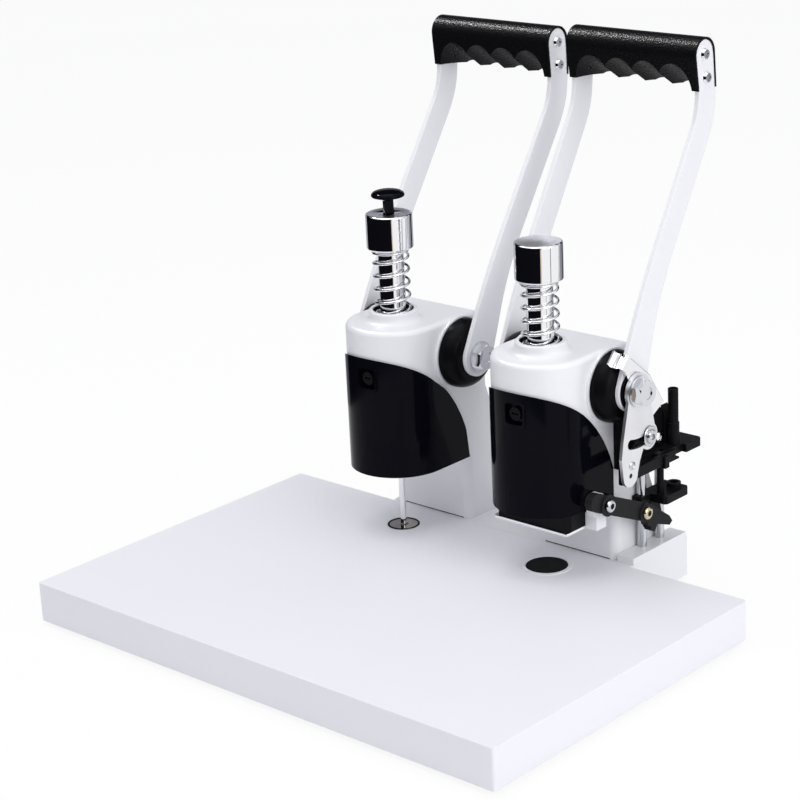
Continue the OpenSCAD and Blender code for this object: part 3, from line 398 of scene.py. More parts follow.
class Bench:
    """Places of the CAD model: the table's back edge and top, and the two plunger axes."""

    def __init__(self) -> None:
        """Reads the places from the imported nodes."""
        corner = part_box("table_shell")[1]
        self.back, self.top = corner.y, corner.z
        self.axis = {side: sum(corner.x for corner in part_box(f"{side.value}_cap")) / 2 for side in Side}
        self.axis_y = sum(corner.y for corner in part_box("left_cap")) / 2

    def at(self, x: float, y: float, z: float) -> Vector:
        """Gives the place at x in metres and at y and z in millimetres from the table's back top edge."""
        return Vector((x, self.back + y * MM, self.top + z * MM))

    def plunger(self, side: Side, z: float) -> Vector:
        """Gives a place on a head's plunger axis, with z in metres in the model frame."""
        return Vector((self.axis[side], self.axis_y, z))


BENCH = Bench()


def dress(node: str, finish: Finish, edge: float = 0.5, steps: int = 2) -> None:
    """Gives a CAD node its finish and soft edges.

    Args:
        node: Name of the node.
        finish: Its finish.
        edge: Width of the soft edges in millimetres, or 0 for none.
        steps: Segments of a soft edge.
    """
    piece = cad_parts[node]
    piece.data.materials.clear()
    piece.data.materials.append(finish.material())
    soften(piece, edge, steps)
    LOG.info("%s: %s", node, finish.name)


def soften(piece: bpy.types.Object, edge: float, steps: int = 2, angle: float = 32.0) -> None:
    """Rounds a piece's edges and evens its normals by modifiers.

    Args:
        piece: The piece.
        edge: Width of the soft edges in millimetres, or 0 for none.
        steps: Segments of a soft edge.
        angle: Least angle of an edge in degrees.
    """
    weld = piece.modifiers.new("weld", "WELD")
    weld.merge_threshold = WELD_GAP
    flat = piece.modifiers.new("flat_faces", "DECIMATE")
    flat.decimate_type = "DISSOLVE"
    flat.angle_limit = math.radians(FLAT_ANGLE)
    if edge > 0:
        bevel = piece.modifiers.new("soft_edges", "BEVEL")
        bevel.width = edge * MM
        bevel.segments = steps
        bevel.limit_method = "ANGLE"
        bevel.angle_limit = math.radians(angle)
        bevel.harden_normals = False
    normals = piece.modifiers.new("even_normals", "WEIGHTED_NORMAL")
    normals.keep_sharp = True


def placed(name: str, mesh: bmesh.types.BMesh) -> bpy.types.Object:
    """Puts a mesh into the scene as an object.

    Args:
        name: Name of the object.
        mesh: Its mesh, which is used up.

    Returns:
        The object.
    """
    data = bpy.data.meshes.new(name)
    mesh.to_mesh(data)
    mesh.free()
    piece = bpy.data.objects.new(name, data)
    bpy.context.scene.collection.objects.link(piece)
    return piece


def make(name: str, mesh: bmesh.types.BMesh, finish: Finish, body: Body | None,
         stands_for: Iterable[str] = (), edge: float = 0.0, angle: float = 40.0) -> bpy.types.Object:
    """Turns a mesh into a piece of the machine.

    Args:
        name: Name of the piece.
        mesh: Its mesh in the model frame, which is used up.
        finish: Its finish.
        body: Body that it rides on, or None where the caller places it.
        stands_for: CAD nodes that it replaces.
        edge: Width of soft edges in millimetres, or 0 for none.
        angle: Edges sharper than this, in degrees, stay sharp.

    Returns:
        The piece.
    """
    bmesh.ops.recalc_face_normals(mesh, faces=mesh.faces)
    piece = placed(name, mesh)
    piece.data.shade_smooth()
    piece.data.set_sharp_from_angle(angle=math.radians(angle))
    piece.data.materials.append(finish.material())
    if edge > 0:
        soften(piece, edge, angle=angle)
    if body is not None:
        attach(piece, body.value)
    if stands_for:
        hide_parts(*stands_for)
    LOG.info("%s: %s", name, finish.name)
    return piece


def turned(mesh: bmesh.types.BMesh, profile: Sequence[Point], place: Vector, turn: Matrix,
           steps: int = 96, hexed: Iterable[int] = ()) -> None:
    """Adds a turned solid to a mesh.

    Args:
        mesh: The mesh.
        profile: Radius and height pairs in millimetres, from the bottom up; a ring ends where it starts.
        place: Foot of the axis, in metres.
        turn: Rotation that takes +Z to the axis.
        steps: Segments round the axis.
        hexed: Places in the profile that are hexagons, with the radius to their corners.
    """
    loops = []
    six = math.tau / 6
    for spot, (radius, height) in enumerate(profile):
        loop = []
        for i in range(steps if radius > ON_AXIS else 1):
            a = math.tau * i / steps
            reach = radius * MM
            if spot in hexed:
                reach *= math.cos(six / 2) / math.cos(a % six - six / 2)
            corner = Vector((reach * math.cos(a), reach * math.sin(a), height * MM))
            loop.append(mesh.verts.new(place + turn @ corner))
        loops.append(loop)
    for low, high in zip(loops, loops[1:]):
        for i in range(steps):
            j = (i + 1) % steps
            corners = [low[i % len(low)], low[j % len(low)], high[j % len(high)], high[i % len(high)]]
            unique = list(dict.fromkeys(corners))
            if len(unique) > 2:
                mesh.faces.new(unique)
    if profile[0] == profile[-1]:
        bmesh.ops.remove_doubles(mesh, verts=mesh.verts, dist=RING_GAP)
        return
    for loop in (loops[0], loops[-1]):
        if len(loop) > 1:
            mesh.faces.new(loop)


def lathe(name: str, profile: Sequence[Point], place: Vector, finish: Finish, body: Body,
          stands_for: Iterable[str] = (), turn: Matrix = UPRIGHT, steps: int = 96,
          hexed: Iterable[int] = (), angle: float = 40.0) -> None:
    """Makes a piece that is one turned solid.

    Args:
        name: Name of the piece.
        profile: Radius and height pairs in millimetres.
        place: Foot of the axis, in metres.
        finish: Its finish.
        body: Body that it rides on.
        stands_for: CAD nodes that it replaces.
        turn: Rotation that takes +Z to the axis.
        steps: Segments round the axis.
        hexed: Places in the profile that are hexagons.
        angle: Edges sharper than this, in degrees, stay sharp.
    """
    mesh = bmesh.new()
    turned(mesh, profile, place, turn, steps, hexed)
    make(name, mesh, finish, body, stands_for, angle=angle)


def rounded(middle: Point, radius: float, start: float, end: float, steps: int = 8) -> list[Point]:
    """Gives points on an arc about a middle, from a start to an end angle in degrees."""
    angles = [math.radians(start + (end - start) * i / steps) for i in range(steps + 1)]
    return [(middle[0] + radius * math.cos(a), middle[1] + radius * math.sin(a)) for a in angles]


def ring(inner: float, outer: float, low: float, high: float, edge: float) -> list[Point]:
    """Gives the outline of a turned ring from low to high, with its upper edges broken."""
    rise = high - edge
    return [(inner, low), (outer, low), (outer, rise), (outer - edge, high), (inner + edge, high),
            (inner, rise), (inner, low)]


def extruded(mesh: bmesh.types.BMesh, outline: Sequence[Vector],
             step: Vector) -> list[bmesh.types.BMEdge]:
    """Adds the solid that an outline leaves when it moves.

    Args:
        mesh: The mesh.
        outline: Corners of the outline, in metres.
        step: The move, in metres.

    Returns:
        The edges of the moved end, without the one that closes the outline.
    """
    near = [mesh.verts.new(corner) for corner in outline]
    far = [mesh.verts.new(corner + step) for corner in outline]
    mesh.faces.new(near)
    mesh.faces.new(far)
    for k in range(len(near)):
        mesh.faces.new((near[k - 1], near[k], far[k], far[k - 1]))
    return [mesh.edges.get(pair) for pair in zip(far, far[1:])]


def towards(sign: int) -> Matrix:
    """Gives the rotation that takes +Z to the right (1) or the left (-1)."""
    return Matrix.Rotation(math.radians(90 * sign), 3, "Y")


@dataclass
class CoilSpring:
    """A wire spring: close turns at both ends, open turns between."""

    name: str
    node: str
    side: Side
    still: Body
    moving: Body
    radius: float = 12.5
    wire: float = 2.0
    turns: float = 4.6
    end_turns: float = 0.8
    end_gap: float = 0.7
    end_taper: float = 0.82
    rings: int = 36
    sides: int = 14

    def path(self, low: float, high: float) -> list[Vector]:
        """Gives the wire's middle line about the axis.

        Args:
            low: Lowest point of the spring in metres.
            high: Highest point of the spring in metres.

        Returns:
            Points in metres, round the axis at the origin.
        """
        close = self.wire + self.end_gap
        rise = (high - low) / MM - self.wire
        open_turn = (rise - 2 * close * self.end_turns) / self.turns
        total = self.turns + 2 * self.end_turns
        count = math.ceil(total * self.rings)
        reach = self.radius * MM
        points = []
        for i in range(count + 1):
            t = i * total / count
            opened = min(max(t - self.end_turns, 0.0), self.turns)
            z = close * (t - opened) + open_turn * opened
            a = math.tau * t
            points.append(Vector((reach * math.cos(a), reach * math.sin(a), low + (self.wire / 2 + z) * MM)))
        return points

    def build(self) -> None:
        """Makes the wire in place of the CAD spring."""
        low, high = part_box(self.node)
        middle = BENCH.plunger(self.side, 0.0)
        points = self.path(low.z, high.z)
        mesh = bmesh.new()
        loops = []
        for i, point in enumerate(points):
            ahead = (points[min(i + 1, len(points) - 1)] - points[max(i - 1, 0)]).normalized()
            out = Vector((point.x, point.y, 0)).normalized()
            up = ahead.cross(out).normalized()
            out = up.cross(ahead).normalized()
            taper = self.end_taper if i in (0, len(points) - 1) else 1.0
            loop = []
            for k in range(self.sides):
                a = math.tau * k / self.sides
                round_wire = out * math.cos(a) + up * math.sin(a)
                loop.append(mesh.verts.new(middle + point + taper * self.wire / 2 * MM * round_wire))
            loops.append(loop)
        for one, two in zip(loops, loops[1:]):
            for k in range(self.sides):
                m = (k + 1) % self.sides
                mesh.faces.new((one[k], one[m], two[m], two[k]))
        mesh.faces.new(loops[0])
        mesh.faces.new(loops[-1])
        piece = make(self.name, mesh, CHROME, None, (self.node,), angle=60)
        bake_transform(piece)


@dataclass
class WorkTable:
    """White work table on its cast bed, with the die and the press pad."""

    edge: float = 0.9
    rim_inset: float = 0.05
    rim_width: float = 1.5
    rim_depth: float = 0.4
    rim_rise: float = 0.35
    rim_edge: float = 0.25

    def build(self) -> None:
        """Dresses the table, the bed, the feet and what is let into the top."""
        dress("table_shell", WHITE_PLASTIC, self.edge, 3)
        dress("bed", WHITE_COAT, 1.0, 3)
        dress("feet", RUBBER, 0.4)
        dress("table_screws", STEEL, 0.2)
        dress("bed_bolts", STEEL, 0.3)
        dress("die_plate", DIE_STEEL, 0.15)
        self.die_rim()
        dress("press_pad", RUBBER, 0.4)
        dress("pad_ring", WHITE_PLASTIC, 0.25)

    def die_rim(self) -> None:
        """Makes the black ring round the die plate."""
        low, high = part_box("die_plate")
        outer = (high.x - low.x) / 2 / MM - self.rim_inset
        profile = ring(outer - self.rim_width, outer, -self.rim_depth, self.rim_rise, self.rim_edge)
        place = Vector(((low.x + high.x) / 2, (low.y + high.y) / 2, high.z))
        lathe("die_rim", profile, place, SATIN_BLACK, Body.BASE)


@dataclass
class Head:
    """A cast head with its cover, hub covers, plunger and cap."""

    side: Side
    hub_radius: float = 25.5
    hub_rise: float = 13.5
    hub_flat: float = 18.0
    hub_skirt: float = 1.6
    hub_edge: float = 0.6
    hub_steps: int = 16
    boss_x: float = 37.0
    shaft_room: float = 8.4
    cap_radius: float = 16.75
    cap_edge: float = 1.4
    cap_land: float = 0.3
    cap_socket: float = 5.0
    plunger_radius: float = 9.35
    column_front: float = 3.0
    # Dark strip under the column's front, a painted shadow line: half its length, its height, depth and how
    # far it stands proud, in millimetres.
    shade_line_half: float = 29.0
    shade_line_height: float = 0.7
    shade_line_depth: float = 1.0
    shade_line_proud: float = 0.05
    sleeve_low: float = 161.1
    sleeve_high: float = 166.3
    sleeve_radius: float = 14.9
    sleeve_wall: float = 0.6

    def cap_side(self, height: float) -> list[Point]:
        """Gives a cap's outline from its socket to the edge of its top.

        Args:
            height: Height of the cap's side, in millimetres.

        Returns:
            Radius and height pairs.
        """
        edge, land = self.cap_edge, self.cap_land
        flat = self.cap_radius - edge
        return [(self.plunger_radius, self.cap_socket), (self.plunger_radius, 0.0), (flat, 0.0),
                *rounded((flat, edge), edge, -80, 0, 6), (self.cap_radius, edge + land),
                (self.cap_radius, height - edge - land),
                *rounded((flat, height - edge), edge, 0, 90, 8), (flat - land, height)]

    def build(self) -> None:
        """Dresses the castings and makes the hub covers and the dark trims."""
        prefix = self.side.value
        dress(f"{prefix}_head", WHITE_COAT, 1.2, 3)
        self.cover()
        dress(f"{prefix}_back_plate", WHITE_COAT, 0.5)
        dress(f"{prefix}_plunger", CHROME, 0.3)
        self.hub_covers()
        self.column_shade_line()
        self.collar_sleeve()

    def cover(self) -> None:
        """Dresses the front cover."""
        dress(f"{self.side.value}_cover", POLISHED_BLACK, 0.5)

    def column_shade_line(self) -> None:
        """Makes the dark strip under the column's front: a painted shadow of the joint between the column and
        the bed.
        """
        left = BENCH.axis[self.side] - self.shade_line_half * MM
        front, back = self.column_front - self.shade_line_proud, self.column_front + self.shade_line_depth
        low, high = self.shade_line_proud, self.shade_line_height
        section = [BENCH.at(left, y, z) for y, z in ((front, low), (front, high), (back, high), (back, low))]
        mesh = bmesh.new()
        extruded(mesh, section, Vector((2 * self.shade_line_half * MM, 0.0, 0.0)))
        # Black rubber strip that stands for the joint's shadow: painted shadow.
        make(f"{self.side.value}_column_shade_line", mesh, RUBBER, Body.BASE)

    def collar_sleeve(self) -> None:
        """Makes the black sleeve inside the collar that guides the spring."""
        outer, wall = self.sleeve_radius, self.sleeve_wall
        profile = ring(outer - wall, outer, 0.0, self.sleeve_high - self.sleeve_low, wall / 3)
        place = BENCH.plunger(self.side, BENCH.top + self.sleeve_low * MM)
        lathe(f"{self.side.value}_collar_sleeve", profile, place, SATIN_BLACK, Body.BASE)

    def hub_covers(self) -> None:
        """Makes the two domed black covers round the shaft."""
        room, radius, rise, edge = self.shaft_room, self.hub_radius, self.hub_rise, self.hub_edge
        across, up = radius - self.hub_flat, rise - self.hub_skirt
        dome = [math.pi / 2 * i / self.hub_steps for i in range(1, self.hub_steps + 1)]
        profile = [(room, 0.0), (radius - edge, 0.0), (radius, edge), (radius, self.hub_skirt),
                   *((self.hub_flat + across * math.cos(a), self.hub_skirt + up * math.sin(a)) for a in dome),
                   (room + edge, rise), (room, rise - edge), (room, 0.0)]
        mesh = bmesh.new()
        for sign in (-1, 1):
            place = BENCH.at(BENCH.axis[self.side] + sign * self.boss_x * MM, *PIVOT)
            turned(mesh, profile, place, towards(sign))
        name = self.side.value
        make(f"{name}_hub_discs", mesh, SATIN_BLACK, Body.BASE, (f"{name}_hub_covers",))


@dataclass
class PunchHead(Head):
    """The left head: hollow punch, ejector and button."""

    roof: float = 4.0
    stem_room: float = 3.95
    stem_edge: float = 0.5
    chamber: float = 7.0
    button_radius: float = 12.0
    button_rise: float = 6.4
    button_edge: float = 1.2
    button_waist: float = 2.5
    button_under: Point = (-2.4, 1.3)
    button_neck: tuple[Point, ...] = ((0.0, -1.2), (0.5, -0.3), (1.8, 0.3))
    button_steps: int = 14
    stem_radius: float = 3.9
    flange_radius: float = 6.5
    flange_height: float = 3.0
    wing_start: float = -30.0
    wing_foot: float = 55.0
    wing_tip: float = 3.8
    wing_reach: float = 2.0
    wing_ramp: float = 8.0

    def cover(self) -> None:
        """Makes the front cover with its curved edge drawn out to the cover's foot."""
        mesh = bmesh.new()
        mesh.from_mesh(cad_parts["left_cover"].data)
        bmesh.ops.remove_doubles(mesh, verts=mesh.verts, dist=WELD_GAP)
        for corner in mesh.verts:
            back = (corner.co.y - BENCH.back) / MM
            height = (corner.co.z - BENCH.top) / MM
            if back < self.wing_start:
                continue
            if height < self.wing_foot:
                back = self.wing_tip
            else:
                back += self.wing_reach * min(1.0, (back - self.wing_start) / self.wing_ramp)
            corner.co.y = BENCH.back + back * MM
        make("left_cover_shell", mesh, POLISHED_BLACK, Body.BASE, ("left_cover",), edge=0.5, angle=32)

    def cap(self) -> None:
        """Makes the hollow plunger cap."""
        low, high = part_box("left_cap")
        height = (high.z - low.z) / MM
        roof, room, edge = height - self.roof, self.stem_room, self.stem_edge
        profile = self.cap_side(height)
        profile += [(room + edge, height), (room, height - edge), (room, roof), (self.chamber, roof),
                    (self.chamber, self.cap_socket), profile[0]]
        lathe("left_cap_turned", profile, BENCH.plunger(self.side, low.z), CAP_PLATE, Body.LEFT_PUNCH,
              ("left_cap",), steps=128, angle=50)

    def button(self) -> None:
        """Makes the ejector's mushroom button with its stem and flange."""
        low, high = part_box("eject_button")
        height = (high.z - low.z) / MM
        rim, stem, edge = height - self.button_rise, self.stem_radius, self.button_edge
        profile = [(0.0, 0.0), (self.flange_radius, 0.0), (self.flange_radius, self.flange_height),
                   (stem, self.flange_height), *((stem + out, rim + rise) for out, rise in self.button_neck),
                   (self.button_radius + self.button_under[0], rim + self.button_under[1])]
        profile += rounded((self.button_radius - edge, rim + self.button_waist), edge, -80, 50, 8)
        crown = profile[-1]
        profile += [(crown[0] * math.cos(a), crown[1] + (height - crown[1]) * math.sin(a))
                    for a in (math.pi / 2 * i / self.button_steps for i in range(1, self.button_steps))]
        profile.append((0.0, height))
        lathe("eject_mushroom", profile, BENCH.plunger(self.side, low.z), POLISHED_BLACK, Body.EJECTOR,
              ("eject_button",), angle=55)

    def build(self) -> None:
        """Dresses the head and its punch."""
        super().build()
        self.cap()
        self.button()
        dress("punch_chuck", STEEL, 0.4)
        dress("hollow_punch", CHROME, 0.0)
        dress("eject_rod", STEEL, 0.2)
        CoilSpring("left_spring_wire", "left_return_spring", self.side, Body.BASE, Body.LEFT_PUNCH).build()
        CoilSpring("eject_spring_wire", "eject_spring", self.side, Body.LEFT_PUNCH, Body.EJECTOR,
                   radius=4.6, wire=0.8, turns=2.2).build()


@dataclass
class PressHead(Head):
    """The right head: press foot and rivet punch."""

    crown: float = 1.2
    crown_steps: int = 8

    def cap(self) -> None:
        """Makes the plunger cap with its slightly crowned top."""
        low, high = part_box("right_cap")
        height = (high.z - low.z) / MM
        profile = [(0.0, self.cap_socket), *self.cap_side(height - self.crown)]
        edge = profile[-1][0]
        for i in range(1, self.crown_steps + 1):
            out = 1 - i / self.crown_steps
            profile.append((edge * out, height - self.crown * out ** 2))
        lathe("right_cap_turned", profile, BENCH.plunger(self.side, low.z), CAP_PLATE, Body.RIGHT_PRESS,
              ("right_cap",), steps=128, angle=50)

    def build(self) -> None:
        """Dresses the head and its press foot."""
        super().build()
        self.cap()
        dress("press_block", PAINT_BLACK, 0.6)
        dress("press_plate", CHROME, 0.2)
        dress("rivet_punch", STEEL, 0.2)
        dress("foot_bracket", WHITE_COAT, 0.6)
        CoilSpring("right_spring_wire", "right_return_spring", self.side, Body.BASE, Body.RIGHT_PRESS).build()


@dataclass
class Lever:
    """A lever loop: two arms, a grip, its screws and the hub bolts."""

    side: Side
    body: Body
    lean: float = 0.0
    grip_radius: float = 11.6
    tail: Point = (13.3, -24.4)
    arm_out: float = 54.4
    sunk: float = 0.3
    lip: float = 0.57
    inset: float = 0.05
    edging: float = 1.4
    wrap: Point = (120.0, 4.0)
    wrap_steps: int = 24

    def leaned(self, y: float, z: float) -> Point:
        """Leans a bench place back about the lever axis."""
        a, y, z = math.radians(self.lean), y - PIVOT[0], z - PIVOT[1]
        return (PIVOT[0] + y * math.cos(a) + z * math.sin(a), PIVOT[1] + z * math.cos(a) - y * math.sin(a))

    def grip_edging(self) -> None:
        """Makes the thin edge of the grip that runs down behind each arm."""
        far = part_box("right_grip")[1]
        back = (far.y - BENCH.back) / MM - self.tail[0]
        top = (far.z - BENCH.top) / MM - self.grip_radius
        paths = []
        for inset in (self.inset, self.edging):
            line = rounded((0.0, 0.0), self.grip_radius - inset, *self.wrap, self.wrap_steps)
            line.append((self.tail[0] - inset, self.tail[1] + self.inset))
            paths.append([self.leaned(back + y, top + z) for y, z in line])
        mesh = bmesh.new()
        for sign in (-1, 1):
            rows = []
            for x, path in ((self.arm_out - self.sunk, paths[0]), (self.arm_out - self.sunk, paths[1]),
                            (self.arm_out + self.lip, paths[1]), (self.arm_out + self.lip, paths[0])):
                across = BENCH.axis[self.side] + sign * x * MM
                rows.append([mesh.verts.new(BENCH.at(across, *spot)) for spot in path])
            for one, two in zip(rows, rows[1:] + rows[:1]):
                for k in range(len(one) - 1):
                    mesh.faces.new((one[k], one[k + 1], two[k + 1], two[k]))
            for k in (0, -1):
                mesh.faces.new([row[k] for row in rows])
        make(f"{self.side.value}_grip_edging", mesh, GRIP_BLACK, self.body)

    def build(self) -> None:
        """Dresses the lever's pieces."""
        prefix = self.side.value
        dress(f"{prefix}_lever_left_arm", WHITE_COAT, 1.4, 3)
        dress(f"{prefix}_lever_right_arm", WHITE_COAT, 1.4, 3)
        dress(f"{prefix}_grip", GRIP_BLACK, 0.6, 3)
        self.grip_edging()
        dress(f"{prefix}_grip_screws", CHROME, 0.25)
        dress(f"{prefix}_hub_bolts", BOLT_PLATE, 0.35)
        dress(f"{prefix}_shaft", STEEL, 0.4)
        dress(f"{prefix}_crank_finger", STEEL, 0.4)


# Screw heads: radius and height above the seat, in millimetres, from the shank to the hexagon socket
GUIDE_BOLT_HEAD = (
    (3.0, 0.0), (7.0, 0.0), (7.3, 0.3), (7.3, 0.9), (7.0, 1.2), (5.4, 1.2), (5.2, 0.9), (5.0, 0.9),
    (4.8, 1.2), (4.8, 2.4), (4.3, 3.0), (2.5, 3.0), (2.3, 1.2), (0.0, 1.0))
GAUGE_SCREW_HEAD = (
    (2.5, 0.0), (4.2, 0.0), (4.5, 0.3), (4.5, 1.4), (4.1, 2.0), (3.3, 2.4), (2.3, 2.4), (2.1, 0.7),
    (0.0, 0.5))
BALL_HEAD = (
    (2.5, 0.0), (4.3, 0.0), *rounded((2.9, 1.5), 1.5, 0, 70, 5), (1.9, 3.0), (1.7, 1.6), (0.0, 1.4))
# Black insert at the floor of the gauge screws' hexagon sockets: painted shade in the recess.
SOCKET_SHADE_INSERT = ((0.0, 0.6), (2.2, 0.6), (2.24, 1.7), (1.7, 1.9), (0.0, 1.5))
RIVET_HEAD = ((0.0, -0.2), (3.1, -0.2), (3.1, 0.3), (2.6, 0.7), (1.6, 0.9), (1.2, 0.5), (0.0, 0.4))


@dataclass
class TubeCutter:
    """The tube cutter on the right head's side, with its link, clip and blade.

    Faces and ends are millimetres right of the plunger axis. Spots are bench y and z. The clip's corners
    are measured from the lever axis. The fold's are millimetres right of the plunger axis and out from the
    arm's front edge.
    """

    head_face: float = 35.0
    body_face: float = 41.0
    gauge_face: float = 52.4
    arm_face: float = 54.4
    clip_back: float = 56.2
    clip_face: float = 57.4
    link_back: float = 57.3
    link_face: float = 60.5
    sleeve_end: float = 60.4
    body_screw_depth: float = 6.0
    guide_bolt: Point = (8.9, 97.2)
    body_screws: tuple[Point, Point] = ((16.0, 84.0), (44.0, 82.0))
    gauge_pivot: Point = (15.8, 36.5)
    gauge_pivot_start: float = -7.0
    gauge_pin: Point = (-26.8, 55.5)
    gauge_pin_start: float = 2.5
    drive_pin: Point = (-10.9, 81.3)
    rivet_sunk: float = 0.4
    sleeve_bore: float = 4.1
    sleeve_radius: float = 8.0
    flange_radius: float = 14.0
    flange_edge: float = 0.3
    clip_top: Point = (-8.0, 27.5)
    clip_foot: Point = (-15.5, 19.5)
    clip_leg: float = 4.0
    clip_bend: float = 2.0
    clip_rim: float = 0.6
    clip_bore: float = 8.1
    clip_tail: tuple[Point, ...] = ((16.3, 7.1), (32.3, -16.8), (19.4, -23.6), (4.5, -13.0))
    clip_neck: Point = (-7.5, 9.8)
    fold_over: tuple[Point, ...] = ((54.6, -0.25), (53.8, -0.25), (51.6, -0.95))
    fold_under: tuple[Point, ...] = ((51.6, -2.15), (53.8, -1.35))
    lip_middle: Point = (49.0, 0.45)
    lip_bend: float = 1.4
    lip_sheet: float = 1.2
    lip_top: float = 3.0

    def place(self, x: float, spot: Point) -> Vector:
        """Gives the place of a spot, x millimetres right of the plunger axis."""
        return BENCH.at(BENCH.axis[Side.RIGHT] + x * MM, *spot)

    def screw(self, name: str, spot: Point, foot: float, seat: float, head: Sequence[Point], finish: Finish,
              body: Body, stands_for: Iterable[str] = (), steps: int = 48) -> None:
        """Makes a screw that points to the right.

        Args:
            name: Name of the piece.
            spot: Bench y and z of its axis, in millimetres.
            foot: Its inner end.
            seat: Its head's seat.
            head: Outline of its head above the seat.
            finish: Its finish.
            body: Body that it rides on.
            stands_for: CAD nodes that it replaces.
            steps: Segments round its axis.
        """
        length = seat - foot
        profile = [(0.0, 0.0), head[0], *((radius, length + rise) for radius, rise in head)]
        socket = (len(profile) - 3, len(profile) - 2)
        lathe(name, profile, self.place(foot, spot), finish, body, stands_for, towards(1), steps, socket, 35)

    def screws(self) -> None:
        """Makes the guide bolt, the bracket's ball-headed screws, the gauge's two screws and the rivet."""
        self.screw("guide_bolt", self.guide_bolt, self.link_back, self.link_face, GUIDE_BOLT_HEAD, BOLT_ZINC,
                   Body.BASE, ("cutter_screws",), 72)
        for name, spot, finish in zip(("front_bracket_screw", "back_bracket_screw"), self.body_screws,
                                      (PAINT_BLACK, CHROME)):
            self.screw(name, spot, self.body_face - self.body_screw_depth, self.body_face, BALL_HEAD, finish,
                       Body.BASE)
        for name, spot, start, finish, body, stands_for in (
                ("gauge_pivot", self.gauge_pivot, self.gauge_pivot_start, YELLOW_ZINC, Body.BASE, ()),
                ("gauge_drive", self.gauge_pin, self.gauge_pin_start, BOLT_ZINC, Body.RIGHT_PRESS,
                 ("gauge_pin_screw",))):
            self.screw(f"{name}_screw", spot, self.head_face + start, self.gauge_face, GAUGE_SCREW_HEAD,
                       finish, body, stands_for)
            # Each socket gets a black insert: painted shade in the recess.
            lathe(f"{name}_socket", SOCKET_SHADE_INSERT, self.place(self.gauge_face, spot), PAINT_BLACK, body,
                  turn=towards(1), steps=48, hexed=(1, 2, 3), angle=35)
        lathe("drive_pin_rivet", RIVET_HEAD, self.place(self.link_face - self.rivet_sunk, self.drive_pin),
              BOLT_ZINC, Body.LINK, turn=towards(1), steps=40, angle=35)

    def clip(self) -> None:
        """Makes the clip: a strip over the sleeve, folded round the arm's front edge to a turned-up lip."""
        pivot, top, foot = Vector(PIVOT), Vector(self.clip_top), Vector(self.clip_foot)
        run = top - foot
        out = Vector((-run.y, run.x)).normalized()
        bend = (self.clip_face - self.clip_bend, -self.clip_bend)
        lip_face = self.lip_middle[0] - self.lip_bend
        fold = [(self.clip_face, -self.clip_leg), *rounded(bend, self.clip_bend, 0, 90, 6), *self.fold_over,
                *rounded(self.lip_middle, self.lip_bend, 270, 180, 5),
                (lip_face, self.lip_top), (lip_face - self.lip_sheet, self.lip_top),
                *rounded(self.lip_middle, self.lip_bend + self.lip_sheet, 180, 270, 6), *self.fold_under,
                *rounded(bend, self.clip_back - bend[0], 90, 0, 4), (self.clip_back, -self.clip_leg)]
        mesh = bmesh.new()
        section = [self.place(x, tuple(pivot + foot + out * rise)) for x, rise in fold]
        extruded(mesh, section, Vector((0.0, *run)) * MM)
        strip = [top - out * self.clip_leg, *self.clip_tail,
                 *rounded((0.0, 0.0), self.clip_bore, -75, 140, 24),
                 self.clip_neck, foot - out * self.clip_leg]
        outline = [self.place(self.clip_back, tuple(pivot + Vector(spot))) for spot in strip]
        rim = extruded(mesh, outline, Vector((self.clip_face - self.clip_back, 0.0, 0.0)) * MM)
        bmesh.ops.bevel(mesh, geom=rim, offset=self.clip_rim * MM, segments=3, profile=0.5,
                        affect="EDGES", clamp_overlap=True)
        make("clip_plate_folded", mesh, CLIP_ZINC, Body.RIGHT_LEVER, ("clip_plate",), angle=13)

    def sleeve(self) -> None:
        """Makes the spacer sleeve with its flange under the clip."""
        flange, length = self.clip_back - self.arm_face, self.sleeve_end - self.arm_face
        radius, edge = self.flange_radius, self.flange_edge
        profile = [(self.sleeve_bore, 0.0), (radius - edge, 0.0), (radius, edge), (radius, flange - edge),
                   (radius - edge, flange), (self.sleeve_radius, flange), (self.sleeve_radius, length),
                   (self.sleeve_bore, length), (self.sleeve_bore, 0.0)]
        lathe("link_sleeve_turned", profile, self.place(self.arm_face, PIVOT), POLISHED_BLACK,
              Body.RIGHT_LEVER, ("link_sleeve",), towards(1), 72, angle=35)

    def build(self) -> None:
        """Dresses the cutter's pieces."""
        self.screws()
        dress("cutter_body", PAINT_BLACK, 0.6)
        dress("tube_post", PAINT_BLACK, 0.4)
        dress("guide_rods", BOLT_ZINC, 0.3)
        dress("blade_keeper", PAINT_BLACK, 0.4)
        dress("blade_slide", PAINT_BLACK, 0.4)
        dress("link_plate", ZINC, 0.3)
        self.sleeve()
        self.clip()


@dataclass
class ThicknessGauge:
    """The thickness gauge: lever and tray."""

    edge: float = 0.6
    tray_edge: float = 0.5

    def build(self) -> None:
        """Dresses the gauge's pieces."""
        dress("gauge_lever", GAUGE_BLACK, self.edge)
        dress("gauge_tray", PAINT_BLACK, self.tray_edge)


@dataclass
class Lamp:
    """A soft studio lamp."""

    name: str
    place: Place
    aim: Place
    size: Point
    power: float
    tone: Rgb = (1.0, 1.0, 1.0)
    sheen_only: bool = False

    def build(self) -> None:
        """Hangs the lamp."""
        data = bpy.data.lights.new(self.name, "AREA")
        data.shape = "RECTANGLE"
        data.size, data.size_y = self.size
        data.energy = self.power
        data.color = self.tone
        lamp = bpy.data.objects.new(self.name, data)
        lamp.visible_diffuse = not self.sheen_only
        lamp.location = self.place
        lamp.rotation_euler = (Vector(self.aim) - Vector(self.place)).to_track_quat("-Z", "Y").to_euler()
        bpy.context.scene.collection.objects.link(lamp)


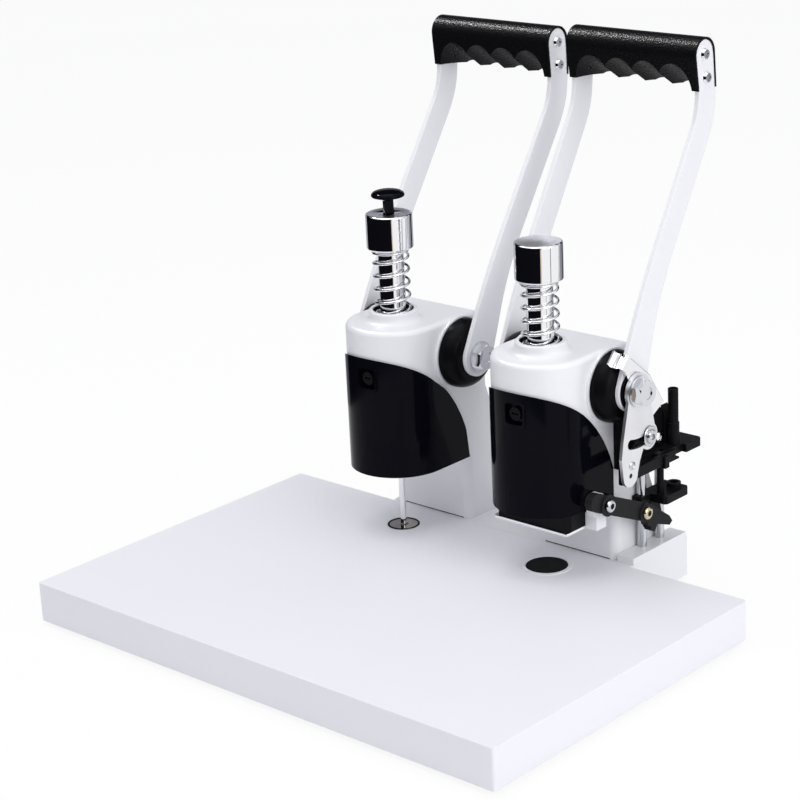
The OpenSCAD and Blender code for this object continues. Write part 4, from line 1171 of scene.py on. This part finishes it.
@dataclass
class Card:
    """A card bent round the machine, on the floor and up, which only bright metal and gloss reflect."""

    name: str
    start: float
    end: float
    tone: Rgb
    low: float = 0.004
    high: float = 1.6
    near: float = 0.46
    far: float = 2.6
    on_floor: float = 0.01
    step: float = 6.0

    def build(self) -> None:
        """Sets up the card, out of the camera's sight and without a shadow."""
        mesh = bmesh.new()
        steps = max(4, round((self.end - self.start) / self.step))
        outline = [(self.far, self.low), (self.far, self.high)]
        if self.low < self.on_floor:
            outline.insert(0, (self.near, self.low))
        rows = []
        for i in range(steps + 1):
            a = math.radians(self.start + (self.end - self.start) * i / steps)
            rows.append([mesh.verts.new((math.cos(a) * r, math.sin(a) * r, z)) for r, z in outline])
        for one, two in zip(rows, rows[1:]):
            for k in range(len(outline) - 1):
                mesh.faces.new((one[k], two[k], two[k + 1], one[k + 1]))
        card = placed(self.name, mesh)
        matt = Graph(self.name, Base_Color=self.tone, Roughness=1.0, Specular_IOR_Level=0.0)
        card.data.materials.append(matt.material)
        card.visible_camera = card.visible_diffuse = card.visible_shadow = False


@dataclass
class Studio:
    """White studio: floor, surround, lamps and cards for the bright metal."""

    ambient: float = 0.57
    ambient_tone: Rgb = (0.96, 0.97, 1.0)
    floor_half: float = 6.0
    floor_drop: float = 0.0004
    floor_tone: Rgb = (0.9, 0.9, 0.91)
    floor_roughness: float = 0.9
    floor_glow: float = 0.9
    cards: tuple[Card, ...] = (
        Card("dark_card", -188.0, -38.0, (0.004, 0.004, 0.006)),
        Card("warm_card", -38.0, -33.0, (0.62, 0.50, 0.38)),
        Card("grey_strip", 6.0, 10.0, (0.25, 0.25, 0.27)),
        Card("grey_card", 54.0, 64.0, (0.45, 0.45, 0.48)),
        Card("side_card", 64.0, 84.0, (0.30, 0.30, 0.32)),
        Card("black_strip", 84.0, 98.0, (0.01, 0.01, 0.01)),
        Card("back_card", 98.0, 172.0, (0.50, 0.50, 0.55), high=1.1),
        Card("back_flag", 98.0, 192.0, (0.01, 0.01, 0.01), low=1.1, high=3.8))
    lamps: tuple[Lamp, ...] = (
        Lamp("right_window", (1.9, -0.2, 1.0), (0.0, 0.0, 0.15), (1.5, 1.5), 15.5),
        Lamp("top_bank", (-0.1, -0.2, 1.9), (0.0, 0.0, 0.0), (1.8, 1.8), 18.5, (0.98, 0.98, 1.0)),
        Lamp("left_spot", (-1.02, 0.0, 1.53), (0.0, 0.1, 0.2), (0.2, 0.2), 26.0, sheen_only=True))

    def build(self) -> None:
        """Sets the surround, the floor, the cards and the lamps."""
        self.surround()
        self.floor()
        for item in (*self.cards, *self.lamps):
            item.build()

    @staticmethod
    def mixed(tree: bpy.types.NodeTree, lit: bpy.types.Node, seen: bpy.types.Node, share: float,
              out: bpy.types.Node) -> None:
        """Mixes what lights the object with what the camera, a mirror or glass sees.

        Args:
            tree: Node tree to write into.
            lit: Shader that lights the object.
            seen: Shader that is seen.
            share: Share of the seen shader where it is seen.
            out: Output of the tree.
        """
        path = tree.nodes.new("ShaderNodeLightPath")
        factor = path.outputs["Is Camera Ray"]
        for kind in ("Is Glossy Ray", "Is Transmission Ray"):
            either = tree.nodes.new("ShaderNodeMath")
            either.operation = "MAXIMUM"
            tree.links.new(factor, either.inputs[0])
            tree.links.new(path.outputs[kind], either.inputs[1])
            factor = either.outputs[0]
        part = tree.nodes.new("ShaderNodeMath")
        part.operation = "MULTIPLY"
        part.inputs[1].default_value = share
        mix = tree.nodes.new("ShaderNodeMixShader")
        tree.links.new(factor, part.inputs[0])
        for source, target in zip((part, lit, seen), mix.inputs):
            tree.links.new(source.outputs[0], target)
        tree.links.new(mix.outputs[0], out.inputs["Surface"])

    def surround(self) -> None:
        """Sets a white surround that lights the object at a plain level."""
        world = bpy.data.worlds.new("studio")
        bpy.context.scene.world = world
        world.use_nodes = True
        tree = world.node_tree
        tree.nodes.clear()
        lit, seen = (tree.nodes.new("ShaderNodeBackground") for _ in range(2))
        lit.inputs["Color"].default_value = (*self.ambient_tone, 1.0)
        lit.inputs["Strength"].default_value = self.ambient
        seen.inputs["Color"].default_value = (1.0, 1.0, 1.0, 1.0)
        self.mixed(tree, lit, seen, 1.0, tree.nodes.new("ShaderNodeOutputWorld"))

    def floor(self) -> None:
        """Lays a pale floor that keeps a soft shadow."""
        mesh = bmesh.new()
        half = self.floor_half
        corners = ((-half, -half), (half, -half), (half, half), (-half, half))
        mesh.faces.new([mesh.verts.new((*corner, -self.floor_drop)) for corner in corners])
        floor = placed("studio_floor", mesh)
        pale = Graph("floor_white", Base_Color=self.floor_tone, Roughness=self.floor_roughness)
        glow = pale.node("Emission", Strength=1.0)
        self.mixed(pale.tree, pale.shader, glow, self.floor_glow, pale.tree.nodes["Material Output"])
        floor.data.materials.append(pale.material)


@dataclass
class PhotoCamera:
    """The photograph's viewpoint."""

    place: Place = (1.002, -1.10622, 0.664)
    yaw: float = 42.87
    pitch: float = 18.75
    roll: float = -2.78
    lens: float = 102.8
    sensor: float = 36.0
    clip: Point = (0.01, 50.0)

    def build(self) -> None:
        """Sets up the camera."""
        data = bpy.data.cameras.new("photo_camera")
        data.lens = self.lens
        data.sensor_width = self.sensor
        data.clip_start, data.clip_end = self.clip
        camera = bpy.data.objects.new("photo_camera", data)
        camera.matrix_world = Matrix.Translation(self.place)
        for angle, axis in ((self.yaw, "Z"), (90.0 - self.pitch, "X"), (self.roll, "Z")):
            camera.matrix_world @= Matrix.Rotation(math.radians(angle), 4, axis)
        bpy.context.scene.collection.objects.link(camera)
        bpy.context.scene.camera = camera


def main() -> None:
    """Builds the machine's classes in order, then the studio and the camera."""
    logging.basicConfig(level=logging.INFO, format="%(name)s: %(message)s")
    bpy.context.scene.view_settings.view_transform = "Standard"
    assemblies = (WorkTable(), PunchHead(Side.LEFT), PressHead(Side.RIGHT),
                  Lever(Side.LEFT, Body.LEFT_LEVER, lean=3.0), Lever(Side.RIGHT, Body.RIGHT_LEVER),
                  TubeCutter(), ThicknessGauge())
    for assembly in assemblies:
        assembly.build()
    dress("cover_screws", PAINT_BLACK, 0.2)
    dress("back_plate_screws", STEEL, 0.2)
    Studio().build()
    PhotoCamera().build()


if __name__ == "__main__":
    main()
